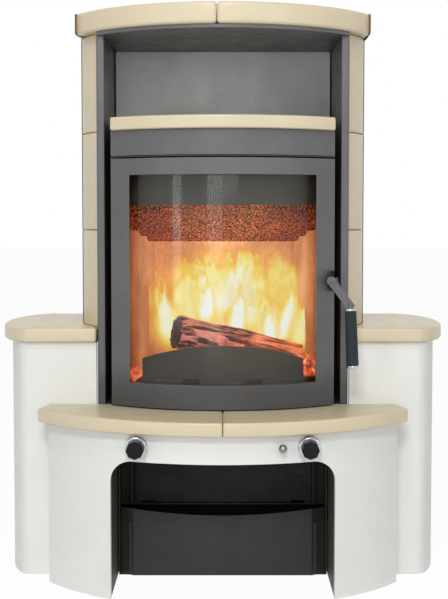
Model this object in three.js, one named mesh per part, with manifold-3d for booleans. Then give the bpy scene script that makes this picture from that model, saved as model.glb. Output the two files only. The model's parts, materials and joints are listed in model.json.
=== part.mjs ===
// Tiled stove: a bow-fronted stove column with a warming niche, standing in a bench of
// painted panels and glazed ceramic slabs.  Millimetres; X to the viewer's right, Y to the
// rear wall, Z up.  While it is drawn, y = 0 is the rear plane; the last lines centre it.
import * as THREE from 'three';
import { mergeVertices } from 'three/addons/utils/BufferGeometryUtils.js';
import Module from 'manifold-3d';

const wasm = await Module();
wasm.setup();

// ---------------------------------------------------------------- driving dimensions
const SEAT = 0.3; // clearance between two pieces that touch
const RUN = 0.5; // clearance round a pin, shaft or rod that turns or slides
const SHEET = 3; // steel sheet of the body
const ARC_STEPS = 20; // straight steps along a bowed front

const bench = {
  height: 371, // top of the front slabs
  slab: 29, // thickness of the front slabs
  centreY: -229, // plan centre of the bowed front
  apronR: 450,
  apronWall: 20,
  apronHalf: 367,
  overhang: 22, // front slabs past the apron
  endTaper: 14, // how far a slab's end runs inwards to the back
  edge: 5, // rounding of the slab edges
};
const arch = { half: 226, headroom: 57, corner: 45, cheek: 12 };
const side = {
  height: 534, // top of the side slabs
  slab: 30,
  half: 493, // greatest half width of the whole stove
  depth: 441,
  endWidth: 83, // width of a slab's half-oval end
  wall: 18,
  inset: 12, // painted body behind the slab's edge
  endInset: 20,
  flange: 60, // return of the painted body along the rear wall
};
const column = {
  half: 268, // outer face of the corner posts
  post: 14,
  postDepth: 23,
  slot: 18.5, // air slot between door and post
  frontR: 360, // plan radius of the bowed door's face
  endY: -456.286, // that face at the door's upright edges
  rearY: -42, // outer face of the rear panel
  postFrontY: -430,
};
const door = { height: 518, thick: 24, lift: 3, stile: 40.5, topRail: 34, bottomRail: 50 };
const glass = { thick: 4, bite: 10, retainer: 3.6, lip: 1 };
const seal = { width: 11, inset: 14, compressed: 16 };
const header = { height: 52.4, thick: 15, shadowGap: 3 };
const shelf = { thick: 27.5, proud: 10, edge: 4 };
const niche = { height: 174, backY: -160, backGap: 3 };
const rim = {
  thick: 7.7,
  proud: 5,
  slotY: -459,
  slotDepth: 12,
  slots: [{ x: -88, width: 42 }, { x: 97, width: 58 }], // warm-air slots over the niche
};
const cap = { thick: 44.5, proud: 12, side: 4.4, corner: 45, edge: 7, jointX: -12 };
const tile = { thick: 18, bulge: 43.6, radius: 181, centreY: -286, rows: 3, joint: 1, edge: 4 };
const pedestal = { gap: 2, frontY: -434, rearY: -62, bend: 34, nose: 18 };
const drawer = { top: 148, dip: 15, runner: 24, trayHeight: 110, depth: 340, lift: 5 };
const ash = {
  shelf: 141, // underside of the shelf that carries the pan
  faceY: -378,
  border: 31, // ash door inside the pedestal's side
  lap: 13, // ash door over its opening
  doorBottom: 151.5,
  doorTop: 262,
  doorThick: 5,
  jamb: 6,
  hingeR: 4,
  pinR: 2.2,
  panGap: 30, // pan inside the opening
  panDepth: 240,
  panHeight: 84,
  panWall: 2,
};
const ashLatch = { inset: 25.5, z: 198, length: 42, width: 9, slantDeg: 19, thick: 4 };
const fire = {
  floor: 59, // top of the firebox floor above the bench top
  floorThick: 16,
  backY: -229, // front face of the rear lining
  backHalf: 156,
  mouthHalf: 205,
  mouthY: -450,
  lining: 25,
  mouthHeight: 366, // mouth's lintel above the floor
  baffleBack: 286, // underside of the baffle above the floor, at the rear lining
  baffleRise: 84,
  liningRise: 50, // rise of the side linings' stepped top towards the mouth
  liningSteps: 4,
  baffleFrontY: -478,
  baffle: 28,
  duct: { half: 118, frontY: -153, height: 250 },
};
const grate = { half: 105, depth: 150, thick: 8, centreY: -320, ledge: 14, bars: 9, travel: 20 };
const guard = { half: 171, low: 41, high: 72, wall: 3 };
const sill = { notchInner: 48, notchOuter: 84, notchDepth: 9 }; // air notches under the guard
const hinge = { inX: 6.5, inY: 12.3, pinR: 4, pinLength: 12, bracket: 2.4, behind: 8 };
const handle = {
  x: 226.6,
  height: 263, // pivot above the door's lower edge
  hubR: 10,
  spindleR: 5,
  standoff: 16, // hub past the door face
  gripDx: 36.4, // grip's top from the pivot
  gripDrop: 54,
  gripForward: 44,
  gripR: 13,
  gripLength: 122,
  gripLeanDeg: 2.4,
  ring: 4.5,
  strapWidth: 17,
  strapThick: 5,
  tongue: 20,
};
const knob = {
  inset: 52, // axis inside the pedestal's side
  drop: 27, // axis below the slabs
  bezelR: 22.5,
  bezelProud: 24,
  capR: 17.5,
  capLength: 21,
  shaftR: 5,
  scallops: 8,
  discR: 34,
  discThick: 3,
};
const shaker = { inset: 54, ballR: 8.5, rodR: 4, drop: 25, standoff: 13 };
const flue = { innerR: 71, wall: 4, height: 1050, flangeR: 92 };

// ---------------------------------------------------------------- derived levels
const apronTop = bench.height - bench.slab;
const archTop = apronTop - arch.headroom;
const knobZ = apronTop - knob.drop;
const shakerZ = apronTop - shaker.drop;
const pedestalHalf = arch.half - pedestal.gap;
const trayHalf = pedestalHalf - drawer.runner;
const ashDoorHalf = pedestalHalf - ash.border;
const ashOpenHalf = ashDoorHalf - ash.lap;
const panHalf = ashOpenHalf - ash.panGap;
const ashLatchX = ashDoorHalf - ashLatch.inset;
const knobX = pedestalHalf - knob.inset;
const shakerX = knobX - shaker.inset; // grate shaker, to the left of the right knob
const shellBackY = fire.backY + fire.lining + 4; // front face of the firebox's rear wall
const doorHalf = column.half - column.post - column.slot;
const columnCentreY = column.endY + Math.sqrt(column.frontR ** 2 - doorHalf ** 2);
const doorZ = bench.height + door.lift;
const doorTop = doorZ + door.height;
const doorBackR = column.frontR - door.thick;
const frameR = doorBackR - seal.compressed; // front face of the firebox front
const shellTopZ = doorTop + header.shadowGap;
const headerZ = shellTopZ + SHEET + SEAT;
const shelfZ = headerZ + header.height + SEAT;
const nicheZ = shelfZ + shelf.thick;
const rimZ = nicheZ + niche.height;
const capZ = rimZ + rim.thick + SEAT;
const fireFloorZ = bench.height + fire.floor;
const panelOuter = column.half - column.post;
const shellHalf = doorHalf + SHEET + 0.5; // outer face of the firebox sides
const tileCentreX = column.half + tile.bulge - tile.radius;
const sideX = column.half + tile.bulge + cap.side;
const windowHalf = doorHalf - door.stile;
const windowZ = doorZ + door.bottomRail;
const windowTop = doorTop - door.topRail;
const handleZ = doorZ + handle.height;
const benchBackY = side.inset - side.depth - SEAT; // front slabs and apron end at the side bodies

// ---------------------------------------------------------------- finishes
function finish(color, roughness, metalness = 0) {
  return new THREE.MeshStandardMaterial({ color, roughness, metalness });
}
const glaze = () => finish('#ddcfa9', 0.25);
const whitePaint = () => finish('#e9e7df', 0.55);
const greySteel = () => finish('#5b5c60', 0.5, 0.4);
const darkSteel = () => finish('#31332f', 0.6, 0.3);
const castIron = () => finish('#3a3a3a', 0.7, 0.5);
const firebrick = () => finish('#a8703f', 0.95);
const chrome = () => finish('#c9cbd0', 0.15, 1);
const blackPlastic = () => finish('#1d1f21', 0.45);
const clearGlass = () => {
  const material = finish('#9aa3a3', 0.05);
  material.transparent = true;
  material.opacity = 0.35;
  return material;
};
const rope = () => finish('#6a6864', 0.95);
const bark = () => finish('#4b3224', 0.95);

// ---------------------------------------------------------------- outlines
const point = (x, y) => new THREE.Vector2(x, y);
const radians = THREE.MathUtils.degToRad;

// y of a bowed front at x
function bowY(centreY, radius, x) {
  return centreY - Math.sqrt(radius * radius - x * x);
}

// points along a bowed front, from one x to another
function bow(centreY, radius, fromX, toX, steps = ARC_STEPS) {
  const from = Math.asin(fromX / radius);
  const to = Math.asin(toX / radius);
  const points = [];
  for (let i = 0; i <= steps; i += 1) {
    const angle = from + ((to - from) * i) / steps;
    points.push(point(radius * Math.sin(angle), centreY - radius * Math.cos(angle)));
  }
  return points;
}

// points along an oval arc; angles in degrees, 0 along +x
function oval(x, y, rx, ry, fromDeg, toDeg, steps) {
  const points = [];
  for (let i = 0; i <= steps; i += 1) {
    const angle = radians(fromDeg + ((toDeg - fromDeg) * i) / steps);
    points.push(point(x + rx * Math.cos(angle), y + ry * Math.sin(angle)));
  }
  return points;
}

const mirrored = (points, sign) => points.map((p) => point(sign * p.x, p.y));

// ---------------------------------------------------------------- solids
// an outline in plan, raised from z0 to z1; round softens its upper and lower edges
function raise(outline, z0, z1, round = 0) {
  const geometry = new THREE.ExtrudeGeometry(new THREE.Shape(outline), {
    depth: z1 - z0 - 2 * round,
    bevelEnabled: round > 0,
    bevelThickness: round,
    bevelSize: round,
    bevelOffset: -round,
    bevelSegments: 2,
  });
  return geometry.translate(0, 0, z0 + round);
}

// an outline seen from the front (x, z), from yFront back to yBack
function upright(outline, yFront, yBack) {
  const geometry = new THREE.ExtrudeGeometry(new THREE.Shape(outline), {
    depth: yBack - yFront,
    bevelEnabled: false,
  });
  return geometry.rotateX(Math.PI / 2).translate(0, yBack, 0);
}

// an outline seen from the right (y, z), from x0 to x1
function profile(outline, x0, x1) {
  const geometry = new THREE.ExtrudeGeometry(new THREE.Shape(outline), {
    depth: x1 - x0,
    bevelEnabled: false,
  });
  return geometry.rotateX(Math.PI / 2).rotateZ(Math.PI / 2).translate(x0, 0, 0);
}

function box(x0, x1, y0, y1, z0, z1) {
  const geometry = new THREE.BoxGeometry(x1 - x0, y1 - y0, z1 - z0);
  return geometry.translate((x0 + x1) / 2, (y0 + y1) / 2, (z0 + z1) / 2);
}

// a round bar along Y
function barY(x, z, radius, y0, y1, sides = 20) {
  const geometry = new THREE.CylinderGeometry(radius, radius, y1 - y0, sides);
  return geometry.translate(x, (y0 + y1) / 2, z);
}

// a round bar along Z
function barZ(x, y, radius, z0, z1, sides = 20) {
  const geometry = new THREE.CylinderGeometry(radius, radius, z1 - z0, sides);
  return geometry.rotateX(Math.PI / 2).translate(x, y, (z0 + z1) / 2);
}

// a curved plate between two radii of a bowed front
function bowed(centreY, outerR, innerR, x0, x1, z0, z1) {
  const outline = [
    ...bow(centreY, outerR, x0, x1),
    ...bow(centreY, innerR, x0, x1).reverse(),
  ];
  return raise(outline, z0, z1);
}

function toSolid(geometry) {
  const bare = geometry.clone();
  bare.deleteAttribute('normal');
  bare.deleteAttribute('uv');
  const merged = mergeVertices(bare, 1e-4);
  const mesh = new wasm.Mesh({
    numProp: 3,
    vertProperties: new Float32Array(merged.attributes.position.array),
    triVerts: new Uint32Array(merged.index.array),
  });
  return new wasm.Manifold(mesh);
}

function toGeometry(solid) {
  const mesh = solid.getMesh();
  const geometry = new THREE.BufferGeometry();
  geometry.setAttribute('position', new THREE.BufferAttribute(mesh.vertProperties, 3));
  geometry.setIndex(new THREE.BufferAttribute(mesh.triVerts, 1));
  geometry.computeVertexNormals();
  return geometry;
}

function join(...geometries) {
  const [first, ...rest] = geometries.map(toSolid);
  return toGeometry(rest.reduce((whole, next) => whole.add(next), first));
}

function cut(geometry, ...tools) {
  return toGeometry(tools.map(toSolid).reduce((left, tool) => left.subtract(tool), toSolid(geometry)));
}

function common(first, second) {
  return toGeometry(toSolid(first).intersect(toSolid(second)));
}

const stove = new THREE.Group();

function add(name, geometry, material, parent = stove) {
  const mesh = new THREE.Mesh(geometry, material);
  mesh.name = name;
  parent.add(mesh);
  return mesh;
}

const SIDES = [
  { name: 'left', sign: -1 },
  { name: 'right', sign: 1 },
];
const REACH = 1000; // length of a cutting tool that runs right through

// a box on the left (sign -1) or right (sign 1), from its inner to its outer distance
function sideBox(sign, inner, outer, y0, y1, z0, z1) {
  const xs = [sign * inner, sign * outer].sort((a, b) => a - b);
  return box(xs[0], xs[1], y0, y1, z0, z1);
}

// ---------------------------------------------------------------- pedestal and log drawer
const deckZ = bench.height - SHEET;
const railTop = 33;

function pedestalShell() {
  const { frontY, rearY } = pedestal;
  const half = pedestalHalf;
  const top = deckZ - SEAT;
  const walls = SIDES.map(({ sign }) => sideBox(sign, half - SHEET, half, frontY, rearY, 0, top));
  const slabNotch = box(-half - 1, half + 1, frontY - 1, benchBackY + SEAT, apronTop - SEAT, top + 1);
  const railInner = trayHalf + SHEET;
  const rails = SIDES.map(({ sign }) =>
    sideBox(sign, railInner, half - 1, frontY + 10, rearY - 1, railTop - SHEET, railTop),
  );
  const shell = join(
    box(-half, half, frontY, rearY, 0, SHEET),
    box(-half, half, rearY - SHEET, rearY, 0, top),
    box(1 - half, half - 1, ash.faceY, rearY - 1, ash.shelf, ash.shelf + SHEET),
    ...walls,
    ...rails,
  );
  return cut(shell, slabNotch);
}

// bent front sheet whose top edge dips in the middle, seen from the front
function dippedOutline(half, z0) {
  const steps = 16;
  const flatHalf = pedestalHalf - pedestal.bend;
  const points = [point(half, z0), point(half, drawer.top)];
  for (let i = steps; i >= 0; i -= 1) {
    const x = flatHalf * ((2 * i) / steps - 1);
    points.push(point(x, drawer.top - drawer.dip * (1 - (x / flatHalf) ** 2)));
  }
  points.push(point(-half, drawer.top), point(-half, z0));
  return points;
}

function logDrawer() {
  const { nose, frontY } = pedestal;
  const flatHalf = pedestalHalf - pedestal.bend;
  const half = pedestalHalf - drawer.lift;
  const z0 = SHEET + SEAT;
  const noseY = frontY - nose;
  const bend = (dy) => [
    point(-half, frontY - 2 + dy),
    point(-flatHalf, noseY + dy),
    point(flatHalf, noseY + dy),
    point(half, frontY - 2 + dy),
  ];
  const front = common(
    raise([...bend(0), ...bend(SHEET).reverse()], z0, drawer.top + 1),
    upright(dippedOutline(half, z0 - 1), noseY - 1, frontY + SHEET),
  );
  const floorZ = z0 + drawer.lift;
  const trayTop = floorZ + drawer.trayHeight;
  const y0 = noseY + SHEET / 2;
  const y1 = noseY + drawer.depth;
  const inner = trayHalf - SHEET;
  const tray = cut(
    box(-trayHalf, trayHalf, y0, y1, floorZ, trayTop),
    box(-inner, inner, y0 + SHEET / 2, y1 - SHEET, floorZ + SHEET, trayTop + 1),
  );
  const runners = SIDES.map(({ sign }) => {
    const outer = pedestalHalf - SHEET - drawer.lift;
    return sideBox(sign, inner + 1, outer, frontY, y1, railTop + SEAT, railTop + SEAT + SHEET);
  });
  return join(front, tray, ...runners);
}

add('pedestal', pedestalShell(), darkSteel());
add('log_drawer', logDrawer(), darkSteel());

// ---------------------------------------------------------------- ash compartment
const ashHingeX = 3 - ashDoorHalf;
const ashDoorY = ash.faceY - 1; // rear of the ash door
const ashHingeY = ashDoorY - ash.doorThick - ash.hingeR + 0.8;
const airPorts = [0, 1, 2, 3].map((i) => radians(45 + 90 * i));
const portOffset = 0.65 * knob.discR;
const portR = 0.27 * knob.discR;

function airPortBars(x, y0, y1) {
  return airPorts.map((a) =>
    barY(x + portOffset * Math.cos(a), knobZ + portOffset * Math.sin(a), portR, y0, y1, 12),
  );
}

function ashFrontFrame() {
  const y0 = ash.faceY;
  const y1 = y0 + SHEET;
  const half = pedestalHalf - SHEET - SEAT;
  const z0 = ash.shelf + SHEET + SEAT;
  const jambTop = ash.doorTop + 3;
  const jambInner = ashDoorHalf + 1.5;
  const plate = cut(
    box(-half, half, y0, y1, z0, deckZ - SEAT),
    box(-ashOpenHalf, ashOpenHalf, y0 - 1, y1 + 1, z0 - 1, ash.doorTop - 8),
    barY(shakerX, shakerZ, shaker.rodR + RUN, y0 - 1, y1 + 1),
    ...SIDES.map(({ sign }) => barY(sign * knobX, knobZ, knob.shaftR + RUN, y0 - 1, y1 + 1)),
    ...SIDES.flatMap(({ sign }) => airPortBars(sign * knobX, y0 - 1, y1 + 1)),
  );
  const jambs = SIDES.map(({ sign }) =>
    sideBox(sign, jambInner, jambInner + ash.jamb, y0 - 14, y0 + 1, z0, jambTop),
  );
  const arms = [ash.doorBottom - 0.6 - SHEET, ash.doorTop + 0.6].map((z) =>
    box(-jambInner - 1, ashHingeX + 2, ashHingeY - 2, ashHingeY + 2, z, z + SHEET),
  );
  const pin = barZ(ashHingeX, ashHingeY, ash.pinR, ash.doorBottom - 2, ash.doorTop + 2, 16);
  return join(plate, ...jambs, ...arms, pin);
}

function ashDoor() {
  const half = ashDoorHalf;
  const y0 = ashDoorY - ash.doorThick;
  const skin = 2;
  const knuckles = [ash.doorBottom + 5, ash.doorTop - 29].map((z) =>
    barZ(ashHingeX, ashHingeY, ash.hingeR, z, z + 24, 16),
  );
  const panel = join(box(-half, half, y0, ashDoorY, ash.doorBottom, ash.doorTop), ...knuckles);
  return cut(
    panel,
    box(-half + 6, half - 6, y0 + skin, ashDoorY + 1, ash.doorBottom + skin, ash.doorTop - skin),
    barZ(ashHingeX, ashHingeY, ash.pinR + RUN, ash.doorBottom, ash.doorTop, 16),
    barY(ashLatchX, ashLatch.z, 3 + RUN, y0 - 1, ashDoorY + 1, 16),
  );
}

function ashLatchLever() {
  const y1 = ashDoorY - ash.doorThick - SEAT;
  const y0 = y1 - ashLatch.thick;
  const end = ashLatch.width / 2;
  const outline = [
    ...oval(0, 0, end + 2, end + 2, 0, 180, 10),
    ...oval(0, -ashLatch.length, end, end, 180, 360, 8),
  ];
  const lever = upright(outline, 0, ashLatch.thick);
  lever.rotateY(radians(ashLatch.slantDeg)).translate(ashLatchX, y0, ashLatch.z);
  const spindle = barY(ashLatchX, ashLatch.z, 3, y0 - 2, ashDoorY + 4, 16);
  const camZ = ashLatch.z - 4;
  const cam = box(ashLatchX - 4, ashLatchX + 4, ashDoorY + 2, ashDoorY + 6, camZ, camZ + 13);
  return join(lever, spindle, cam);
}

function ashPan() {
  const y0 = ashDoorY + 12;
  const y1 = y0 + ash.panDepth;
  const z0 = ash.shelf + SHEET + SEAT;
  const inner = panHalf - ash.panWall;
  const top = z0 + ash.panHeight;
  return cut(
    box(-panHalf, panHalf, y0, y1, z0, top),
    box(-inner, inner, y0 + ash.panWall, y1 - ash.panWall, z0 + ash.panWall, top + 1),
  );
}

add('ash_front_frame', ashFrontFrame(), darkSteel());
add('ash_door', ashDoor(), darkSteel());
add('ash_latch', ashLatchLever(), greySteel());
add('ash_pan', ashPan(), darkSteel());

// ---------------------------------------------------------------- column body
const postBackY = column.postFrontY + column.postDepth;
const bodyRearY = column.rearY - SEAT;

// plate under the column, open below the grate so that ash falls into the pan
function deckPlate() {
  const dropFrontY = grate.centreY - 40;
  return cut(
    box(-column.half, column.half, column.postFrontY + 1.3, bodyRearY, deckZ, bench.height),
    box(-panHalf, panHalf, dropFrontY, shellBackY - 5, deckZ - 1, bench.height + 1),
  );
}

// side sheet of the column, folded into the corner post at its front
function sidePanel(sign) {
  const inner = panelOuter - SHEET;
  const outer = column.half;
  const front = column.postFrontY;
  const nose = 5;
  const outline = [
    point(inner, bodyRearY),
    point(panelOuter, bodyRearY),
    point(panelOuter, postBackY),
    point(outer, postBackY),
    ...oval(outer - nose, front + nose, nose, nose, 0, -90, 5),
    ...oval(inner + 2, front + 2, 2, 2, -90, -180, 3),
  ];
  return raise(mirrored(outline, sign), bench.height + SEAT, rimZ - SEAT);
}

const hingeX = -(doorHalf - hinge.inX);
const hingeY = bowY(columnCentreY, column.frontR, doorHalf) + hinge.inY;
const tongueY = bowY(columnCentreY, doorBackR, doorHalf) + 1;
const tongueThick = 6;

// bowed front of the firebox with its hinge pins and the keeper that the door's tongue rests on
function frontFrame() {
  const z0 = bench.height + SEAT;
  const z1 = shellTopZ - SEAT;
  const mouthTop = fireFloorZ + fire.mouthHeight;
  const notchZ = fireFloorZ - sill.notchDepth;
  const plate = cut(
    bowed(columnCentreY, frameR, frameR - door.thick, -doorHalf, doorHalf, z0, z1),
    box(-fire.mouthHalf, fire.mouthHalf, -REACH, columnCentreY, fireFloorZ, mouthTop),
    ...SIDES.map(({ sign }) =>
      sideBox(sign, sill.notchInner, sill.notchOuter, -REACH, columnCentreY, notchZ, fireFloorZ + 1),
    ),
  );
  const backY = bowY(columnCentreY, frameR, doorHalf) - 4;
  const brackets = [z0, z1 - hinge.bracket].map((z) =>
    box(hingeX - 8, hingeX + 11, hingeY - 8, backY, z, z + hinge.bracket),
  );
  const pinTop = doorZ + hinge.pinLength;
  const pins = [
    barZ(hingeX, hingeY, hinge.pinR, z0 + 0.5, pinTop),
    barZ(hingeX, hingeY, hinge.pinR, doorTop - hinge.pinLength, z1 - 0.5),
  ];
  const keeperTop = handleZ - tongueThick / 2 - SEAT;
  const keeperOuter = panelOuter - SHEET - 2;
  const keeperFrontY = tongueY + tongueThick + 2 * RUN;
  const keeper = [
    box(doorHalf - 6, keeperOuter, keeperFrontY, backY + 4.2, keeperTop - 11, keeperTop),
    box(doorHalf + 2.5, keeperOuter, tongueY - 1, backY, keeperTop - 11, keeperTop),
  ];
  const ties = [z0, z1 - hinge.bracket].map((z) =>
    box(hingeX - 6, hingeX + 11, backY - 1, backY + 4.2, z, z + hinge.bracket),
  );
  return join(plate, ...brackets, ...ties, ...pins, ...keeper);
}

// welded box round the fire and the smoke space above it
function fireboxShell() {
  const inner = shellHalf - SHEET;
  const z0 = bench.height + SEAT;
  const smokeZ = fireFloorZ + fire.baffleBack + fire.baffle + 14;
  const rear = bodyRearY - SHEET;
  const topOutline = [
    ...bow(columnCentreY, column.frontR - 3, -doorHalf, doorHalf),
    point(shellHalf, postBackY),
    point(shellHalf, rear),
    point(-shellHalf, rear),
    point(-shellHalf, postBackY),
  ];
  const { half, frontY } = fire.duct;
  const top = cut(
    raise(topOutline, shellTopZ, shellTopZ + SHEET),
    box(6 - half, half - 6, frontY + 6, rear - 6, shellTopZ - 1, shellTopZ + SHEET + 1),
  );
  const wallY = bowY(columnCentreY, frameR, doorHalf) + 0.7;
  const walls = SIDES.map(({ sign }) => sideBox(sign, inner, shellHalf, wallY, rear, z0, shellTopZ + 1));
  return join(
    top,
    ...walls,
    box(-inner - 1, inner + 1, shellBackY, shellBackY + SHEET, z0, smokeZ),
    box(-inner - 1, inner + 1, shellBackY, rear, smokeZ - SHEET, smokeZ),
    box(-inner - 1, inner + 1, rear - SHEET, rear, smokeZ - SHEET, shellTopZ + 1),
  );
}

function smokeDuct() {
  const { half, frontY, height } = fire.duct;
  const z0 = shellTopZ + SHEET + SEAT;
  return cut(
    box(-half, half, frontY, bodyRearY, z0, z0 + height),
    box(SHEET - half, half - SHEET, frontY + SHEET, 0, z0 - 1, z0 + height - SHEET),
  );
}

// back sheet with convection slots and the hole for the flue
function rearPanel() {
  const y0 = column.rearY;
  const y1 = y0 + SHEET;
  const low = panelOuter;
  const high = column.half + tile.bulge - tile.thick - SEAT;
  const z0 = bench.height + SEAT;
  const z1 = side.height + SEAT;
  const z2 = rimZ - SEAT;
  const outline = [
    point(-low, z0), point(low, z0), point(low, z1), point(high, z1),
    point(high, z2), point(-high, z2), point(-high, z1), point(-low, z1),
  ];
  const slots = [];
  for (const z of [z0 + 60, z0 + 85, z0 + 110, z2 - 300, z2 - 325]) {
    for (const x of [-130, 0, 130]) {
      slots.push(box(x - 45, x + 45, y0 - 1, y1 + 1, z, z + 9));
    }
  }
  return cut(upright(outline, y0, y1), barY(0, flue.height, flue.innerR, y0 - 1, y1 + 1, 40), ...slots);
}

function flueCollar() {
  const y0 = column.rearY + SHEET + SEAT;
  const outer = flue.innerR + flue.wall;
  const flange = SHEET;
  return cut(
    join(
      barY(0, flue.height, outer, y0, 0, 40),
      barY(0, flue.height, flue.flangeR, y0, y0 + flange, 40),
    ),
    barY(0, flue.height, flue.innerR, y0 - 1, 1, 40),
  );
}

add('deck_plate', deckPlate(), darkSteel());
for (const { name, sign } of SIDES) {
  add(`side_panel_${name}`, sidePanel(sign), greySteel());
}
add('front_frame', frontFrame(), darkSteel());
add('firebox_shell', fireboxShell(), darkSteel());
add('smoke_duct', smokeDuct(), darkSteel());
add('rear_panel', rearPanel(), greySteel());
add('flue_collar', flueCollar(), darkSteel());

// ---------------------------------------------------------------- fire space
const baffleSlope = fire.baffleRise / (fire.backY - fire.baffleFrontY);
const baffleZ = (y) => fireFloorZ + fire.baffleBack + baffleSlope * (fire.backY - y);
const fireR = frameR - door.thick - 2 * SEAT; // all in the fire space keeps inside this bow

function insideBow(geometry, radius) {
  return common(geometry, barZ(0, columnCentreY, radius, 0, REACH + 500, 72));
}

// the space above the baffle's underside
function aboveBaffle() {
  const y0 = fire.baffleFrontY - 50;
  const y1 = fire.backY + 60;
  const outline = [
    point(y0, baffleZ(y0) - SEAT),
    point(y1, baffleZ(y1) - SEAT),
    point(y1, REACH + 300),
    point(y0, REACH + 300),
  ];
  return profile(outline, -REACH, REACH);
}

function sideLining(sign) {
  const { backY, backHalf, mouthHalf, mouthY, lining } = fire;
  const outline = [
    point(backHalf, backY - SEAT),
    point(backHalf + lining, backY - SEAT),
    point(mouthHalf + lining, mouthY),
    point(mouthHalf, mouthY),
  ];
  const slab = raise(mirrored(outline, sign), fireFloorZ + SEAT, shellTopZ - 1);
  return insideBow(cut(slab, aboveSteps()), fireR);
}

// the space above the side linings' top, which rises to the mouth in rounded steps
function aboveSteps() {
  const y0 = fire.backY;
  const z0 = baffleZ(y0) - SEAT;
  const run = (y0 - fire.baffleFrontY) / fire.liningSteps;
  const rise = fire.liningRise / fire.liningSteps;
  const outline = [point(y0 + 60, REACH + 300), point(y0 + 60, z0), point(y0, z0)];
  for (let i = 0; i < fire.liningSteps; i += 1) {
    outline.push(...oval(y0 - (i + 0.5) * run, z0 + (i + 1) * rise, run / 2, rise, -90, -180, 4));
  }
  outline.push(point(y0 - 350, z0 + fire.liningRise), point(y0 - 350, REACH + 300));
  return profile(outline, -REACH, REACH);
}

function backLining() {
  const half = fire.backHalf + fire.lining;
  const y1 = fire.backY + fire.lining;
  return cut(box(-half, half, fire.backY, y1, fireFloorZ + SEAT, shellTopZ - 1), aboveBaffle());
}

function baffleHalf(sign) {
  const y0 = fire.baffleFrontY;
  const y1 = fire.backY + fire.lining;
  const outline = [
    point(y0, baffleZ(y0)),
    point(y1, baffleZ(y1)),
    point(y1, baffleZ(y1) + fire.baffle),
    point(y0 + 8, baffleZ(y0 + 8) + fire.baffle),
    point(y0, baffleZ(y0) + fire.baffle - 8),
  ];
  const half = shellHalf - SHEET - SEAT;
  const xs = [sign * 0.4, sign * half].sort((a, b) => a - b);
  return insideBow(profile(outline, xs[0], xs[1]), fireR - 16);
}

function fireboxFloor() {
  const half = doorHalf;
  const outline = [
    ...bow(columnCentreY, fireR, -half, half),
    point(half, shellBackY - SEAT),
    point(-half, shellBackY - SEAT),
  ];
  const z0 = fireFloorZ - fire.floorThick;
  const y0 = grate.centreY - grate.depth / 2;
  const y1 = grate.centreY + grate.depth / 2;
  const pocketZ = fireFloorZ - grate.thick - 2 * SEAT;
  const dropHalf = grate.half - grate.ledge;
  return cut(
    raise(outline, z0, fireFloorZ),
    box(-grate.half - RUN, grate.half + RUN, y0 - grate.travel - 1, y1 + 1, pocketZ, fireFloorZ + 1),
    box(-dropHalf, dropHalf, y0 + grate.ledge, y1 - grate.ledge, z0 - 1, fireFloorZ + 1),
  );
}

function grateCasting() {
  const z1 = fireFloorZ - SEAT;
  const z0 = z1 - grate.thick;
  const y0 = grate.centreY - grate.depth / 2;
  const y1 = grate.centreY + grate.depth / 2;
  const pitch = (2 * grate.half) / (grate.bars + 1);
  const slots = [];
  for (let i = 1; i <= grate.bars; i += 1) {
    const x = -grate.half + i * pitch;
    slots.push(box(x - pitch / 4, x + pitch / 4, y0 + 12, y1 - 12, z0 - 1, z1 + 1));
  }
  return cut(box(-grate.half, grate.half, y0, y1, z0, z1), ...slots);
}

// low arched plate that keeps embers off the glass, standing in the fire opening
function emberGuard() {
  const { half, low, high, wall } = guard;
  const z0 = fireFloorZ + SEAT;
  const rise = high - low;
  const arcR = (half * half + rise * rise) / (2 * rise);
  const span = THREE.MathUtils.radToDeg(Math.asin(half / arcR));
  const outline = [
    point(-half, z0),
    point(half, z0),
    ...oval(0, z0 + high - arcR, arcR, arcR, 90 - span, 90 + span, 20),
  ];
  const outerR = frameR - 2;
  return common(
    bowed(columnCentreY, outerR, outerR - wall, -half - 1, half + 1, z0, z0 + high + 1),
    upright(outline, -REACH, columnCentreY),
  );
}

// a split log: a round billet with an uneven skin
function billet(radius, length) {
  const geometry = new THREE.CylinderGeometry(radius, 0.92 * radius, length, 14, 5);
  const position = geometry.attributes.position;
  for (let i = 0; i < position.count; i += 1) {
    const x = position.getX(i);
    const y = position.getY(i);
    const z = position.getZ(i);
    const turn = Math.atan2(z, x);
    const uneven = 1 + 0.07 * Math.sin(3 * turn + y / 40) + 0.04 * Math.sin(5 * turn - y / 25);
    position.setXYZ(i, x * uneven, y, z * uneven);
  }
  return geometry.rotateZ(-Math.PI / 2);
}

const logs = {
  large: { radius: 37, length: 290, x: 33, y: -385, z: 62.0, tiltDeg: 10.7, turnDeg: 0 },
  small: { radius: 25, length: 190, x: -62, y: -330, z: 25.5, tiltDeg: 0, turnDeg: 62 },
};

function placedLog({ radius, length, x, y, z, tiltDeg, turnDeg }) {
  const geometry = billet(radius, length);
  geometry.rotateY(radians(tiltDeg)).rotateZ(radians(turnDeg));
  return geometry.translate(x, y, fireFloorZ + z);
}

for (const { name, sign } of SIDES) {
  add(`lining_${name}`, sideLining(sign), firebrick());
  add(`baffle_${name}`, baffleHalf(sign), firebrick());
}
add('lining_back', backLining(), firebrick());
add('firebox_floor', fireboxFloor(), castIron());
add('grate', grateCasting(), castIron());
add('ember_guard', emberGuard(), castIron());
add('log_large', placedLog(logs.large), bark());
add('log_small', placedLog(logs.small), bark());

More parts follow.
